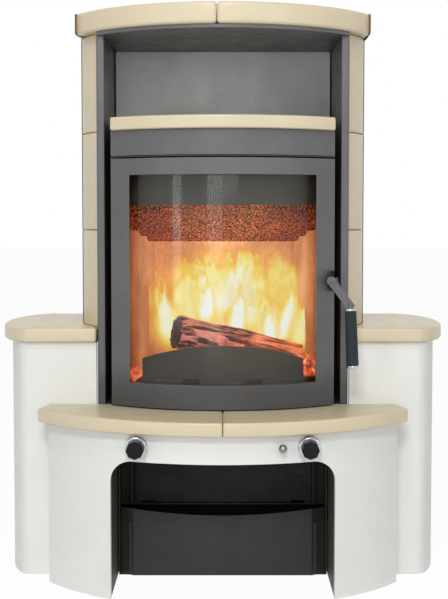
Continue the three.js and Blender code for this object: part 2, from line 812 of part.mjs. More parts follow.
// ---------------------------------------------------------------- header and warming niche
function headerPanel() {
  const outerR = column.frontR;
  const innerR = outerR - header.thick;
  const z1 = headerZ + header.height;
  const rearY = niche.backY + SHEET;
  const floorOutline = [
    ...bow(columnCentreY, innerR + 1, -doorHalf, doorHalf),
    point(doorHalf, rearY),
    point(-doorHalf, rearY),
  ];
  const skirtY = bowY(columnCentreY, innerR, doorHalf) - 1;
  const skirts = SIDES.map(({ sign }) =>
    sideBox(sign, doorHalf - SHEET, doorHalf, skirtY, rearY, headerZ, z1 - 1),
  );
  return join(
    bowed(columnCentreY, outerR, innerR, -doorHalf, doorHalf, headerZ, z1),
    raise(floorOutline, z1 - SHEET, z1),
    ...skirts,
  );
}

function shelfTile() {
  const outline = [
    ...bow(columnCentreY, column.frontR + shelf.proud, -doorHalf, doorHalf),
    point(doorHalf, niche.backY - SEAT),
    point(-doorHalf, niche.backY - SEAT),
  ];
  return raise(outline, shelfZ, nicheZ, shelf.edge);
}

function nicheBack() {
  const half = panelOuter - SHEET - niche.backGap;
  return box(-half, half, niche.backY, niche.backY + SHEET, shelfZ, rimZ - SEAT);
}

function topPlate() {
  const front = bow(columnCentreY, column.frontR + rim.proud, -column.half, column.half);
  const notchY = postBackY;
  const narrow = panelOuter + SHEET - 0.5;
  const outline = [
    ...front,
    point(column.half, notchY),
    point(narrow, notchY),
    point(narrow, column.rearY + SHEET),
    point(-narrow, column.rearY + SHEET),
    point(-narrow, notchY),
    point(-column.half, notchY),
  ];
  const slotBackY = rim.slotY + rim.slotDepth;
  const slots = rim.slots.map(({ x, width }) =>
    box(x - width / 2, x + width / 2, rim.slotY, slotBackY, rimZ - 1, capZ),
  );
  return cut(raise(outline, rimZ, rimZ + rim.thick), ...slots);
}

// half of the ceramic cap: bowed front, rounded corner, straight side
function capHalf(sign) {
  const outerR = column.frontR + cap.proud;
  const cornerX = sideX - cap.corner;
  const reach = outerR - cap.corner;
  const drop = Math.sqrt(reach * reach - cornerX * cornerX);
  const turn = THREE.MathUtils.radToDeg(Math.atan2(-drop, cornerX));
  const tangentX = (cornerX / reach) * outerR;
  const joint = sign * cap.jointX + 0.4;
  const outline = [
    ...bow(columnCentreY, outerR, joint, tangentX),
    ...oval(cornerX, columnCentreY - drop, cap.corner, cap.corner, turn, 0, 8).slice(1),
    point(sideX, 0),
    point(joint, 0),
  ];
  return raise(mirrored(outline, sign), capZ, capZ + cap.thick, cap.edge);
}

add('header_panel', headerPanel(), greySteel());
add('shelf_tile', shelfTile(), glaze());
add('niche_back', nicheBack(), greySteel());
add('top_plate', topPlate(), greySteel());
for (const { name, sign } of SIDES) {
  add(`cap_${name}`, capHalf(sign), glaze());
}

// ---------------------------------------------------------------- side tiles
function tileOutline(sign) {
  const x = tileCentreX;
  const y = tile.centreY;
  const r = tile.radius;
  const innerR = r - tile.thick;
  const frontY = postBackY + SEAT;
  const insideX = panelOuter + SHEET;
  const fromDeg = THREE.MathUtils.radToDeg(Math.asin((frontY - y) / r));
  const innerDeg = -THREE.MathUtils.radToDeg(Math.acos((insideX - x) / innerR));
  const outline = [
    point(insideX, frontY),
    ...oval(x, y, r, r, fromDeg, 0, 12),
    point(x + r, -1),
    point(x + innerR, -1),
    ...oval(x, y, innerR, innerR, 0, innerDeg, 8),
  ];
  return mirrored(outline, sign);
}

const tileZ = side.height + SEAT;
const tilePitch = (capZ - SEAT - tileZ + tile.joint) / tile.rows;
for (const { name, sign } of SIDES) {
  for (let row = 1; row <= tile.rows; row += 1) {
    const z0 = tileZ + (row - 1) * tilePitch;
    const geometry = raise(tileOutline(sign), z0, z0 + tilePitch - tile.joint, tile.edge);
    add(`side_tile_${name}_${row}`, geometry, glaze());
  }
}

// ---------------------------------------------------------------- side benches
function sideSlab(sign) {
  const semiY = side.depth / 2;
  const endX = side.half - side.endWidth;
  const innerX = column.half + 2.3;
  const notchY = postBackY + 1.3;
  const hiddenX = panelOuter + 2;
  const outline = [
    point(hiddenX, notchY),
    point(innerX, notchY),
    point(innerX, -side.depth),
    ...oval(endX, -semiY, side.endWidth, semiY, -90, 90, 24),
    point(hiddenX, 0),
  ];
  return raise(mirrored(outline, sign), side.height - side.slab, side.height, bench.edge);
}

// painted body under a side slab, open towards the stove and the wall
function sideBody(sign) {
  const frontY = side.inset - side.depth;
  const rearY = -side.inset;
  const centreY = (frontY + rearY) / 2;
  const semiY = (rearY - frontY) / 2;
  const endX = side.half - side.endWidth + 9;
  const semiX = side.half - side.endInset - endX;
  const innerX = column.half + 2.3;
  const w = side.wall;
  const outline = [
    point(innerX, frontY),
    ...oval(endX, centreY, semiX, semiY, -90, 90, 20),
    point(endX - side.flange, rearY),
    point(endX - side.flange, rearY - w),
    ...oval(endX, centreY, semiX - w, semiY - w, 90, -90, 20),
    point(innerX, frontY + w),
  ];
  return raise(mirrored(outline, sign), 0, side.height - side.slab - SEAT);
}

for (const { name, sign } of SIDES) {
  add(`side_slab_${name}`, sideSlab(sign), glaze());
  add(`side_body_${name}`, sideBody(sign), whitePaint());
}

// ---------------------------------------------------------------- front bench
function archOutline() {
  const { half, corner } = arch;
  return [
    point(-half, -1),
    point(half, -1),
    ...oval(half - corner, archTop - corner, corner, corner, 0, 90, 8),
    ...oval(corner - half, archTop - corner, corner, corner, 90, 180, 8),
  ];
}

function apronShell() {
  const { centreY, apronR, apronWall, apronHalf } = bench;
  const innerHalf = apronHalf - apronWall;
  const outline = [
    point(-apronHalf, benchBackY),
    ...bow(centreY, apronR, -apronHalf, apronHalf, 32),
    point(apronHalf, benchBackY),
    point(innerHalf, benchBackY),
    ...bow(centreY, apronR - apronWall, -innerHalf, innerHalf, 32).reverse(),
    point(-innerHalf, benchBackY),
  ];
  const bores = SIDES.map(({ sign }) =>
    barY(sign * knobX, knobZ, knob.bezelR + SEAT, -REACH, centreY - 100, 32),
  );
  return cut(
    raise(outline, 0, apronTop - SEAT),
    upright(archOutline(), -REACH, centreY - 100),
    barY(shakerX, shakerZ, shaker.rodR + RUN, -REACH, centreY - 100, 20),
    ...bores,
  );
}

function cheek(sign) {
  const inner = arch.half;
  const outer = inner + arch.cheek;
  const frontY = bowY(bench.centreY, bench.apronR - bench.apronWall, outer) + SEAT;
  return sideBox(sign, inner, outer, frontY, pedestal.frontY + 4, 0, apronTop - SEAT);
}

function frontSlab(sign) {
  const slabR = bench.apronR + bench.overhang;
  const endX = bench.apronHalf + 21;
  const outline = [
    ...bow(bench.centreY, slabR, 0.4, endX, 20),
    point(endX - bench.endTaper, benchBackY),
    point(0.4, benchBackY),
  ];
  return raise(mirrored(outline, sign), apronTop, bench.height, bench.edge);
}

add('apron', apronShell(), whitePaint());
for (const { name, sign } of SIDES) {
  add(`cheek_${name}`, cheek(sign), darkSteel());
  add(`front_slab_${name}`, frontSlab(sign), glaze());
}

// ---------------------------------------------------------------- air controls and grate shaker
const knobFaceY = bowY(bench.centreY, bench.apronR, knobX) - knob.bezelProud;

function bezel(sign) {
  const x = sign * knobX;
  const innerY = bowY(bench.centreY, bench.apronR - bench.apronWall, knobX + knob.bezelR) + 2;
  return cut(
    barY(x, knobZ, knob.bezelR, knobFaceY, innerY, 32),
    barY(x, knobZ, knob.shaftR + RUN, knobFaceY - 1, innerY + 1),
  );
}

// knob with finger scallops, its shaft and the ported disc that throttles the air
function airKnob(sign) {
  const x = sign * knobX;
  const steps = 6 * knob.scallops;
  const outline = [];
  for (let i = 0; i < steps; i += 1) {
    const angle = (2 * Math.PI * i) / steps;
    const r = knob.capR - 0.6 * (1 - Math.cos(knob.scallops * angle));
    outline.push(point(x + r * Math.cos(angle), knobZ + r * Math.sin(angle)));
  }
  const capRear = knobFaceY - SEAT;
  const discFront = ash.faceY - SEAT - knob.discThick;
  const disc = cut(
    barY(x, knobZ, knob.discR, discFront, discFront + knob.discThick, 32),
    ...airPortBars(x, discFront - 1, ash.faceY),
  );
  return join(
    upright(outline, capRear - knob.capLength, capRear),
    barY(x, knobZ, knob.shaftR, capRear - 2, ash.faceY + 10),
    disc,
  );
}

// ball knob, push rod and the crank that carries the grate
function shakerRod() {
  const ballY = bowY(bench.centreY, bench.apronR, shakerX) - shaker.standoff;
  const crankY = grate.centreY + 20;
  const crankX = grate.half - grate.ledge - 11;
  const r = shaker.rodR;
  const ball = new THREE.SphereGeometry(shaker.ballR, 16, 10).translate(shakerX, ballY, shakerZ);
  const top = fireFloorZ - grate.thick - 2 * SEAT;
  return join(
    ball,
    barY(shakerX, shakerZ, r, ballY, crankY + r, 16),
    box(crankX - r, shakerX + r, crankY - r, crankY + r, shakerZ - r, shakerZ + r),
    barZ(crankX, crankY, r - 0.5, shakerZ, top, 16),
  );
}

for (const { name, sign } of SIDES) {
  add(`knob_bezel_${name}`, bezel(sign), chrome());
  add(`air_knob_${name}`, airKnob(sign), blackPlastic());
}
add('grate_shaker', shakerRod(), chrome());

// ---------------------------------------------------------------- door
function doorFrame() {
  const { frontR } = column;
  const rebateR = frontR - door.thick + glass.retainer + glass.thick + 3 * SEAT;
  const r = glass.bite + SEAT;
  const doorSpan = [doorZ - 1, doorTop + 1];
  const swingRebates = SIDES.map(({ sign }) =>
    sideBox(sign, doorHalf - 20, doorHalf + 1, hingeY + hinge.behind, columnCentreY, ...doorSpan),
  );
  return cut(
    bowed(columnCentreY, frontR, doorBackR, -doorHalf, doorHalf, doorZ, doorTop),
    box(-windowHalf, windowHalf, -REACH, columnCentreY, windowZ, windowTop),
    bowed(columnCentreY, rebateR, doorBackR - 5, -windowHalf - r, windowHalf + r, windowZ - r, windowTop + r),
    barZ(hingeX, hingeY, hinge.pinR + RUN, doorZ - 1, doorZ + hinge.pinLength + 2),
    barZ(hingeX, hingeY, hinge.pinR + RUN, doorTop - hinge.pinLength - 2, doorTop + 1),
    barY(handle.x, handleZ, handle.spindleR + RUN, -REACH, columnCentreY),
    ...swingRebates,
  );
}

const glassR = doorBackR + glass.retainer + SEAT;

function doorGlass() {
  const b = glass.bite;
  const half = windowHalf + b;
  return bowed(columnCentreY, glassR + glass.thick, glassR, -half, half, windowZ - b, windowTop + b);
}

// clamping frame behind the glass
function glassRetainer() {
  const b = glass.bite;
  const half = windowHalf + b;
  const l = glass.lip;
  return cut(
    bowed(columnCentreY, glassR - SEAT, doorBackR, -half, half, windowZ - b, windowTop + b),
    box(-windowHalf - l, windowHalf + l, -REACH, columnCentreY, windowZ - l, windowTop + l),
  );
}

// rope round the fire opening, on the front frame, that the closed door presses on
function doorSeal() {
  const outerHalf = fire.mouthHalf + seal.inset;
  const innerHalf = outerHalf - seal.width;
  const z0 = fireFloorZ - 2 * seal.inset;
  const z1 = windowTop + 5 + seal.inset;
  return cut(
    bowed(columnCentreY, doorBackR - SEAT, frameR + SEAT, -outerHalf, outerHalf, z0, z1),
    box(-innerHalf, innerHalf, -REACH, columnCentreY, z0 + seal.width, z1 - seal.width),
  );
}

add('door_frame', doorFrame(), greySteel());
add('door_glass', doorGlass(), clearGlass());
add('glass_retainer', glassRetainer(), darkSteel());
add('door_seal', doorSeal(), rope());

// ---------------------------------------------------------------- door handle and latch
const doorFaceY = bowY(columnCentreY, column.frontR, handle.x - handle.hubR) - 0.5;
const hubY = doorFaceY - handle.standoff + 8; // front of the fixed bracket

// bracket on the curved door face that the handle turns in
function handleBracket() {
  const { x, hubR } = handle;
  const skin = bowY(columnCentreY, column.frontR, x + hubR) + 2;
  const block = join(
    barY(x, handleZ, hubR, hubY, skin),
    box(x + 2, x + 7, hubY, skin, handleZ - 21, handleZ + 21),
  );
  const half = doorHalf + 5;
  const [faceZ0, faceZ1] = [handleZ - 40, handleZ + 40];
  const face = bowed(columnCentreY, column.frontR + SEAT, doorBackR, x - 30, half, faceZ0, faceZ1);
  return cut(block, face, barY(x, handleZ, handle.spindleR + RUN, -REACH, columnCentreY));
}

// hub, sloping strap to the grip, spindle through the door and the tongue behind it
function handleLever() {
  const { x, hubR, gripDx, gripDrop, gripForward, strapWidth, strapThick } = handle;
  const hubFront = hubY - SEAT - 10;
  const start = new THREE.Vector3(x, hubFront + 5, handleZ);
  const gripZ = handleZ - gripDrop;
  const end = new THREE.Vector3(x + gripDx, hubFront + 5 - gripForward, gripZ + 4);
  const along = end.clone().sub(start);
  const length = along.length();
  along.normalize();
  const across = new THREE.Vector3().crossVectors(along, new THREE.Vector3(0, 1, 0)).normalize();
  const normal = new THREE.Vector3().crossVectors(across, along);
  const strap = new THREE.BoxGeometry(strapWidth, length + 8, strapThick);
  strap.applyMatrix4(new THREE.Matrix4().makeBasis(across, along, normal));
  const middle = start.clone().add(end).multiplyScalar(0.5);
  strap.translate(middle.x, middle.y, middle.z);
  const tongueZ = handleZ - tongueThick / 2;
  const tongueRear = tongueY + tongueThick;
  const stub = barZ(end.x, end.y, 6, gripZ, end.z + 6);
  const lever = join(
    strap,
    stub,
    barY(x, handleZ, hubR - 0.5, hubFront, hubY - SEAT),
    barY(x, handleZ, handle.spindleR, hubFront - 2, tongueRear),
    box(x - 2, x + handle.tongue, tongueY, tongueRear, tongueZ, tongueZ + tongueThick + 1),
  );
  return cut(lever, box(x - 50, x + 100, -REACH, 0, gripZ - 50, gripZ));
}

const gripTop = {
  x: handle.x + handle.gripDx,
  y: hubY - SEAT - 5 - handle.gripForward,
  z: handleZ - handle.gripDrop - SEAT - handle.gripR * Math.sin(radians(handle.gripLeanDeg)),
};

// the grip's own axis: everything below hangs from its upper end and leans a little outwards
const grip = new THREE.Group();
grip.position.set(gripTop.x, gripTop.y, gripTop.z);
grip.rotation.y = -radians(handle.gripLeanDeg);
stove.add(grip);

function gripCore() {
  const { gripR, gripLength, ring } = handle;
  const rings = [-ring, -gripLength].map((z) => barZ(0, 0, gripR, z, z + ring, 28));
  return join(...rings, barZ(0, 0, 5, -gripLength + 1, -1));
}

function gripSleeve() {
  const { gripR, gripLength, ring } = handle;
  const bore = 5 + SEAT;
  const top = -ring - SEAT;
  const bottom = ring + SEAT - gripLength;
  const wall = [
    point(bore, bottom),
    point(gripR - 1.2, bottom),
    point(gripR - 0.2, bottom + 1.5),
    point(gripR - 0.6, (top + bottom) / 2),
    point(gripR - 1, top - 1.5),
    point(gripR - 2, top),
    point(bore, top),
    point(bore, bottom),
  ];
  return new THREE.LatheGeometry(wall, 28).rotateX(Math.PI / 2);
}

add('handle_bracket', handleBracket(), blackPlastic());
add('handle_lever', handleLever(), greySteel());
add('grip_core', gripCore(), chrome(), grip);
add('grip_sleeve', gripSleeve(), blackPlastic(), grip);

// ---------------------------------------------------------------- origin under the middle
const frontY = bench.centreY - bench.apronR - bench.overhang;
stove.position.y = -frontY / 2;

export default stove;
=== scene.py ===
"""Tiled stove: glazed slabs and tiles, painted bench, grey steel casing, bowed window and fire.

Every piece is made in metres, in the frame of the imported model, and rides on one of its bodies.
"""

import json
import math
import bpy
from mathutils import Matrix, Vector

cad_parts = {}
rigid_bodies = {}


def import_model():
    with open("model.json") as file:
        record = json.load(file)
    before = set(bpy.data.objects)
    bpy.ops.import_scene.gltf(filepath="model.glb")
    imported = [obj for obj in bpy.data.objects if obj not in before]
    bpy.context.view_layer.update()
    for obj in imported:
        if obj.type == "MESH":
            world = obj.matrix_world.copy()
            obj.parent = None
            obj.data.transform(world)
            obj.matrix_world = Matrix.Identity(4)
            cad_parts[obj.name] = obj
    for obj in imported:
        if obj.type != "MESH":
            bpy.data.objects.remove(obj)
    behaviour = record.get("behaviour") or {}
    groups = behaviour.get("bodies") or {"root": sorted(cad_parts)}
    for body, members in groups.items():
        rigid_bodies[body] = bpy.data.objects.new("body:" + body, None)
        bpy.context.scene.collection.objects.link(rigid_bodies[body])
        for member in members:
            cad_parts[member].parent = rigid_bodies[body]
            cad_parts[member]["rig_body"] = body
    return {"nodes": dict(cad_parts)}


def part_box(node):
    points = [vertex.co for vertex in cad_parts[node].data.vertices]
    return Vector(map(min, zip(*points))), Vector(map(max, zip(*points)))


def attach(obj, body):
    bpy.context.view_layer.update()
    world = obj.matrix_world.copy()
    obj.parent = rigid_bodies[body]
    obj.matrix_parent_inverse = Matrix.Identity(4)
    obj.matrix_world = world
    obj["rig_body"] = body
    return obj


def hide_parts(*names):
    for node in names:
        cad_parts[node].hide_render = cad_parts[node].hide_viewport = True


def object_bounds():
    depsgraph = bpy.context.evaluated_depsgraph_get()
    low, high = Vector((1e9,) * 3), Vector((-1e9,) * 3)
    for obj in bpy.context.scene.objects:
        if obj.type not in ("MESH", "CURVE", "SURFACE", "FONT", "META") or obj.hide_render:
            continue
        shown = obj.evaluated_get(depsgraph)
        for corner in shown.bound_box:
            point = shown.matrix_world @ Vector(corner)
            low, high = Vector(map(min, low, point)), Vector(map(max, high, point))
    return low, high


bl_info = {
    "name": "Tiled Stove",
    "version": (1, 0, 0),
    "blender": (4, 5, 0),
    "location": "3D View > Sidebar > Tiled Stove",
    "description": "Finishes the pieces of a bow-fronted tiled stove and lights its fire",
    "category": "Object",
}

import bmesh
import bpy
import numpy as np
from bpy.props import FloatProperty, FloatVectorProperty, IntProperty, PointerProperty
from mathutils import Vector, noise

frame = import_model()
CAD_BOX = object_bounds()
NODES = frame["nodes"]
SIDES = ("left", "right")
MERGE = 1e-5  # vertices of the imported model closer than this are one
FLAT_ANGLE = math.radians(0.4)  # faces that meet flatter than this are joined
SMOOTH_ANGLE = math.radians(32)  # edges flatter than this are shaded smooth
CORNER_ANGLE = math.radians(28)  # an outline that turns more than this has a corner
CORNER_STEPS = 5  # faces round a corner of the ceramic
CHEEK_RETURN = 0.033  # how far the cheeks reach on behind the pedestal's rounded corners
EMBER_FLOOR = 0.06  # floor in square metres for which the number of embers is meant
GLASS_MIDDLE = 0.012  # half width of the glass's middle, where its thickness is measured
WHITE = (1.0, 1.0, 1.0, 1.0)
BLACK = (0.0, 0.0, 0.0, 1.0)
FLAME_LAYERS = ("across", "along", "heart")  # place on a flame from -1 to 1 and 0 to 1, and heat


# ---------- colours and settings
def linear(red, green, blue):
    """Linear colour of an 8-bit display colour."""

    def channel(value):
        share = value / 255
        return share / 12.92 if share <= 0.04045 else ((share + 0.055) / 1.055) ** 2.4

    return (channel(red), channel(green), channel(blue))


def color_property(name, description, red, green, blue):
    settings = {"subtype": "COLOR", "min": 0, "max": 1, "default": linear(red, green, blue)}
    return FloatVectorProperty(name=name, description=description, **settings)


def length_property(name, description, default):
    settings = {"subtype": "DISTANCE", "unit": "LENGTH", "default": default}
    return FloatProperty(name=name, description=description, **settings)


class GlazeSettings(bpy.types.PropertyGroup):
    """Glazed ceramic of the slabs, tiles, shelf and cap."""

    color: color_property("Glaze", "Colour where the glaze lies thick", 219, 205, 175)
    shade: color_property("Thin Glaze", "Colour where the glaze runs thin", 203, 186, 151)
    edge: length_property("Edge Radius", "Rounding of the ceramic edges", 0.005)
    corner: length_property("Corner Radius", "Rounding of the upright corners", 0.006)


class CasingSettings(bpy.types.PropertyGroup):
    """Painted panels and steel sheets."""

    paint: color_property("Panel Paint", "White paint of the bench", 235, 236, 232)
    grey: color_property("Casing Grey", "Grey finish of the stove body", 97, 97, 98)
    dark: color_property("Pedestal Grey", "Dark finish of pedestal and drawer", 55, 58, 54)
    edge: length_property("Sheet Edge", "Rounding of the sheet edges", 0.0008)


class WindowSettings(bpy.types.PropertyGroup):
    """Bowed window of the door."""

    steps: IntProperty(name="Steps", description="Faces along the curved glass", default=96, min=8)
    tint: color_property("Tint", "Colour of the glass", 238, 240, 238)


class HandleSettings(bpy.types.PropertyGroup):
    """Door handle and air knobs."""

    sleeve: color_property("Sleeve", "Soft sleeve of the grip", 42, 50, 54)
    knob: color_property("Knob", "Moulded knobs", 22, 22, 24)


class FireSettings(bpy.types.PropertyGroup):
    """Logs, embers, flames and their glow."""

    # hot, warm and reach set the painted firelight that the Fire Glow group lays on linings and
    # steel
    hot: color_property("Hot Glow", "Glow next to the flames", 252, 198, 132)
    warm: color_property("Warm Glow", "Glow at the edge of the fire", 170, 76, 34)
    reach: length_property("Glow Reach", "Distance over which the glow fades", 0.17)
    embers: IntProperty(
        name="Embers", description="Glowing lumps on the firebox floor", default=150, min=0
    )


class StageSettings(bpy.types.PropertyGroup):
    """Camera and floor."""

    distance: length_property("Camera Distance", "From the back of the stove to the lens", 3.229)
    height: length_property("Camera Height", "Height of the lens over the floor", 0.7685)
    offset: length_property("Camera Offset", "Lens to the right of the stove's middle", 0.0025)
    pitch: FloatProperty(
        name="Camera Pitch",
        description="Tilt below the horizon",
        subtype="ANGLE",
        default=math.radians(3.549),
    )
    lens: FloatProperty(
        name="Lens", description="Focal length on a 36 mm frame", default=78.97, unit="CAMERA"
    )


# ---------- shader helpers
def set_inputs(tree, node, inputs):
    """Links the sockets among the given inputs to the node and sets the plain values."""
    for key, value in inputs.items():
        if isinstance(value, bpy.types.NodeSocket):
            tree.links.new(value, node.inputs[key])
        else:
            node.inputs[key].default_value = value


def add_node(tree, kind, inputs=None, **settings):
    """A node whose inputs are numbers, colours or other nodes' sockets."""
    node = tree.nodes.new(kind)
    for name, value in settings.items():
        setattr(node, name, value)
    set_inputs(tree, node, inputs or {})
    return node


def opaque(color):
    return (*color[:3], 1.0)


def toned(color, factor):
    """The colour made lighter or darker by a factor."""
    return tuple(min(1.0, factor * channel) for channel in color)


def mix_colors(tree, factor, first, second, blend="MIX"):
    inputs = {0: factor}
    for key, color in ((6, first), (7, second)):
        inputs[key] = color if isinstance(color, bpy.types.NodeSocket) else opaque(color)
    return add_node(tree, "ShaderNodeMix", inputs, data_type="RGBA", blend_type=blend).outputs[2]


def calculate(tree, operation, first, second=0.0, clamp=False):
    inputs = {0: first, 1: second}
    node = add_node(tree, "ShaderNodeMath", inputs, operation=operation, use_clamp=clamp)
    return node.outputs[0]


def multiply(tree, first, second, clamp=False):
    return calculate(tree, "MULTIPLY", first, second, clamp)


def add(tree, first, second):
    return calculate(tree, "ADD", first, second)


def vector_math(tree, operation, inputs):
    return add_node(tree, "ShaderNodeVectorMath", inputs, operation=operation).outputs


def remap(tree, value, low, high, to_low=0.0, to_high=1.0):
    """Smooth step from low..high to to_low..to_high."""
    ends = {"From Min": low, "From Max": high, "To Min": to_low, "To Max": to_high}
    inputs = {"Value": value, **ends}
    return add_node(tree, "ShaderNodeMapRange", inputs, interpolation_type="SMOOTHSTEP").outputs[0]


def noise_texture(tree, vector, scale, detail=3.0, roughness=0.5):
    inputs = {"Vector": vector, "Scale": scale, "Detail": detail, "Roughness": roughness}
    return add_node(tree, "ShaderNodeTexNoise", inputs).outputs["Fac"]


def object_place(tree):
    return add_node(tree, "ShaderNodeTexCoord").outputs["Object"]


def stretched(tree, scale):
    """Object coordinates stretched along the axes."""
    inputs = {"Vector": object_place(tree), "Scale": scale}
    return add_node(tree, "ShaderNodeMapping", inputs).outputs[0]


def on_axis(tree, axis):
    return add_node(tree, "ShaderNodeSeparateXYZ", {0: object_place(tree)}).outputs[axis]


def attribute(tree, name):
    return add_node(tree, "ShaderNodeAttribute", attribute_name=name).outputs["Fac"]


def patchy(tree, scale, low, high, detail=3.0):
    """A value that drifts between low and high over the piece."""
    return remap(tree, noise_texture(tree, object_place(tree), scale, detail), 0.3, 0.7, low, high)


def color_ramp(tree, factor, *stops):
    """A ramp whose stops are a place from 0 to 1 and an 8-bit display colour."""
    node = add_node(tree, "ShaderNodeValToRGB", {"Fac": factor})
    elements = node.color_ramp.elements
    while len(elements) < len(stops):
        elements.new(0.5)
    for element, (position, *color) in zip(elements, stops):
        element.position = position
        element.color = opaque(linear(*color))
    return node.outputs["Color"]


# ---------- shader groups
def shader_group(name, output, inputs):
    """An empty node group with one output; returns its tree, inputs and output node."""
    tree = bpy.data.node_groups.new(name, "ShaderNodeTree")
    kinds = {True: "NodeSocketColor", False: "NodeSocketFloat"}
    for socket, default in inputs.items():
        kind = kinds[isinstance(default, tuple)]
        given = tree.interface.new_socket(socket, in_out="INPUT", socket_type=kind)
        given.default_value = default
    kind = kinds[output == "Color"]
    tree.interface.new_socket(output, in_out="OUTPUT", socket_type=kind)
    source = tree.nodes.new("NodeGroupInput")
    target = tree.nodes.new("NodeGroupOutput")
    return tree, source.outputs, target


def use_group(tree, name, inputs):
    """The output of a shader group that is placed with its own values."""
    node = tree.nodes.new("ShaderNodeGroup")
    node.node_tree = bpy.data.node_groups[name]
    set_inputs(tree, node, inputs)
    return node.outputs[0]


def build_mottle():
    """Two close colours that drift into each other, as on glaze, paint and rolled steel."""
    inputs = {"Light": WHITE, "Dark": BLACK, "Scale": 6.0, "Amount": 0.5}
    tree, given, target = shader_group("Mottle", "Color", inputs)
    place = object_place(tree)
    broad = noise_texture(tree, place, given["Scale"], 4.0, 0.55)
    fine = noise_texture(tree, place, multiply(tree, given["Scale"], 11.0), 2.0)
    both = add(tree, multiply(tree, broad, 0.8), multiply(tree, fine, 0.2))
    share = multiply(tree, remap(tree, both, 0.38, 0.62), given["Amount"])
    color = mix_colors(tree, share, given["Light"], given["Dark"])
    set_inputs(tree, target, {"Color": color})


def build_grain():
    """Fine height of cast, sprayed or woven surfaces, with an optional broad swell."""
    inputs = {"Scale": 900.0, "Swell Scale": 12.0, "Swell": 0.3}
    tree, given, target = shader_group("Grain", "Height", inputs)
    place = object_place(tree)
    fine = noise_texture(tree, place, given["Scale"], 2.0, 0.6)
    swell = noise_texture(tree, place, given["Swell Scale"], 1.0)
    set_inputs(tree, target, {"Height": add(tree, fine, multiply(tree, swell, given["Swell"]))})


def build_edge_wear():
    """Mask that is 1 along convex edges, broken up by noise."""
    tree, given, target = shader_group("Edge Wear", "Mask", {"Width": 0.002})
    rounded = add_node(tree, "ShaderNodeBevel", {"Radius": given["Width"]}, samples=3).outputs[0]
    normal = add_node(tree, "ShaderNodeNewGeometry").outputs["Normal"]
    dot = vector_math(tree, "DOT_PRODUCT", {0: rounded, 1: normal})["Value"]
    edge = remap(tree, dot, 0.995, 0.9)
    spots = noise_texture(tree, object_place(tree), 60.0, 4.0, 0.7)
    broken = remap(tree, spots, 0.35, 0.65, 0.35, 1.0)
    set_inputs(tree, target, {"Mask": multiply(tree, edge, broken)})


def build_fire_glow():
    """Light of the fire on a surface, fading from the middle of the flames."""
    colors = {"Hot": (1, 0.6, 0.2, 1), "Warm": (0.4, 0.08, 0.01, 1)}
    inputs = {**colors, "Reach": 0.2, "Strength": 1.0}
    tree, given, target = shader_group("Fire Glow", "Color", inputs)
    place = object_place(tree)
    away = vector_math(tree, "SUBTRACT", {0: place, 1: fire_heart()})[0]
    squeezed = vector_math(tree, "MULTIPLY", {0: away, 1: (1.0, 1.0, 0.75)})[0]
    distance = vector_math(tree, "LENGTH", {0: squeezed})["Value"]
    near = calculate(tree, "DIVIDE", given["Reach"], calculate(tree, "MAXIMUM", distance, 0.02))
    drift = patchy(tree, 9.0, 0.75, 1.25)
    mask = multiply(tree, multiply(tree, near, near), drift)
    share = multiply(tree, mask, 0.8, clamp=True)
    color = mix_colors(tree, share, given["Warm"], given["Hot"])
    level = multiply(tree, calculate(tree, "MINIMUM", mask, 1.0), given["Strength"])
    set_inputs(tree, target, {"Color": vector_math(tree, "SCALE", {0: color, "Scale": level})[0]})


def build_groups():
    build_mottle()
    build_grain()
    build_edge_wear()
    build_fire_glow()


def mottled(tree, light, dark, scale, amount):
    inputs = {"Light": opaque(light), "Dark": opaque(dark), "Scale": scale, "Amount": amount}
    return use_group(tree, "Mottle", inputs)


def grain_height(tree, scale, swell_scale, swell):
    return use_group(tree, "Grain", {"Scale": scale, "Swell Scale": swell_scale, "Swell": swell})


def worn_edges(tree, width, share):
    return multiply(tree, use_group(tree, "Edge Wear", {"Width": width}), share)


# painted firelight that the Fire Glow group lays on a surface as emission
def painted_firelight_color(tree, strength):
    fire = bpy.context.scene.stove_fire
    colors = {"Hot": opaque(fire.hot), "Warm": opaque(fire.warm)}
    return use_group(tree, "Fire Glow", {**colors, "Reach": fire.reach, "Strength": strength})


# ---------- materials
def open_material(name):
    """The node tree of a fresh material."""
    material = bpy.data.materials.new(name)
    material.use_nodes = True
    return material.node_tree


def finish_material(tree, inputs, bump=None, depth=0.0):
    """Fills in the Principled shader; bump is a height that stands for depth metres of relief."""
    shader = tree.nodes["Principled BSDF"]
    set_inputs(tree, shader, inputs)
    if bump is not None:
        relief = {"Height": bump, "Distance": depth, "Strength": 1.0}
        normal = add_node(tree, "ShaderNodeBump", relief).outputs["Normal"]
        set_inputs(tree, shader, {"Normal": normal})


def glaze_material():
    """Cream glaze: pooled thick on the flats, thin and darker along the rounded edges."""
    settings = bpy.context.scene.stove_glaze
    tree = open_material("cream_glaze")
    base = mottled(tree, settings.color, settings.shade, 5.0, 0.16)
    thin = multiply(tree, attribute(tree, "edge"), 0.45)
    edged = mix_colors(tree, thin, base, settings.shade)
    dots = noise_texture(tree, object_place(tree), 420.0, 2.0, 0.7)
    specks = remap(tree, dots, 0.66, 0.8, 0.0, 0.25)
    inputs = {
        "Base Color": mix_colors(tree, specks, edged, linear(168, 146, 108)),
        "Roughness": patchy(tree, 26.0, 0.3, 0.42),
        "Coat Weight": 0.12,
        "Coat Roughness": 0.15,
    }
    finish_material(tree, inputs, grain_height(tree, 300.0, 9.0, 1.6), 0.0005)


def paint_material():
    """Matt white paint with a fine orange-peel skin."""
    paint = bpy.context.scene.stove_casing.paint
    tree = open_material("white_paint")
    base = mottled(tree, paint, toned(paint, 0.93), 2.5, 0.6)
    edged = mix_colors(tree, worn_edges(tree, 0.003, 0.18), base, linear(200, 198, 190))
    inputs = {"Base Color": edged, "Roughness": patchy(tree, 40.0, 0.42, 0.55)}
    finish_material(tree, inputs, grain_height(tree, 700.0, 5.0, 1.5), 0.0002)


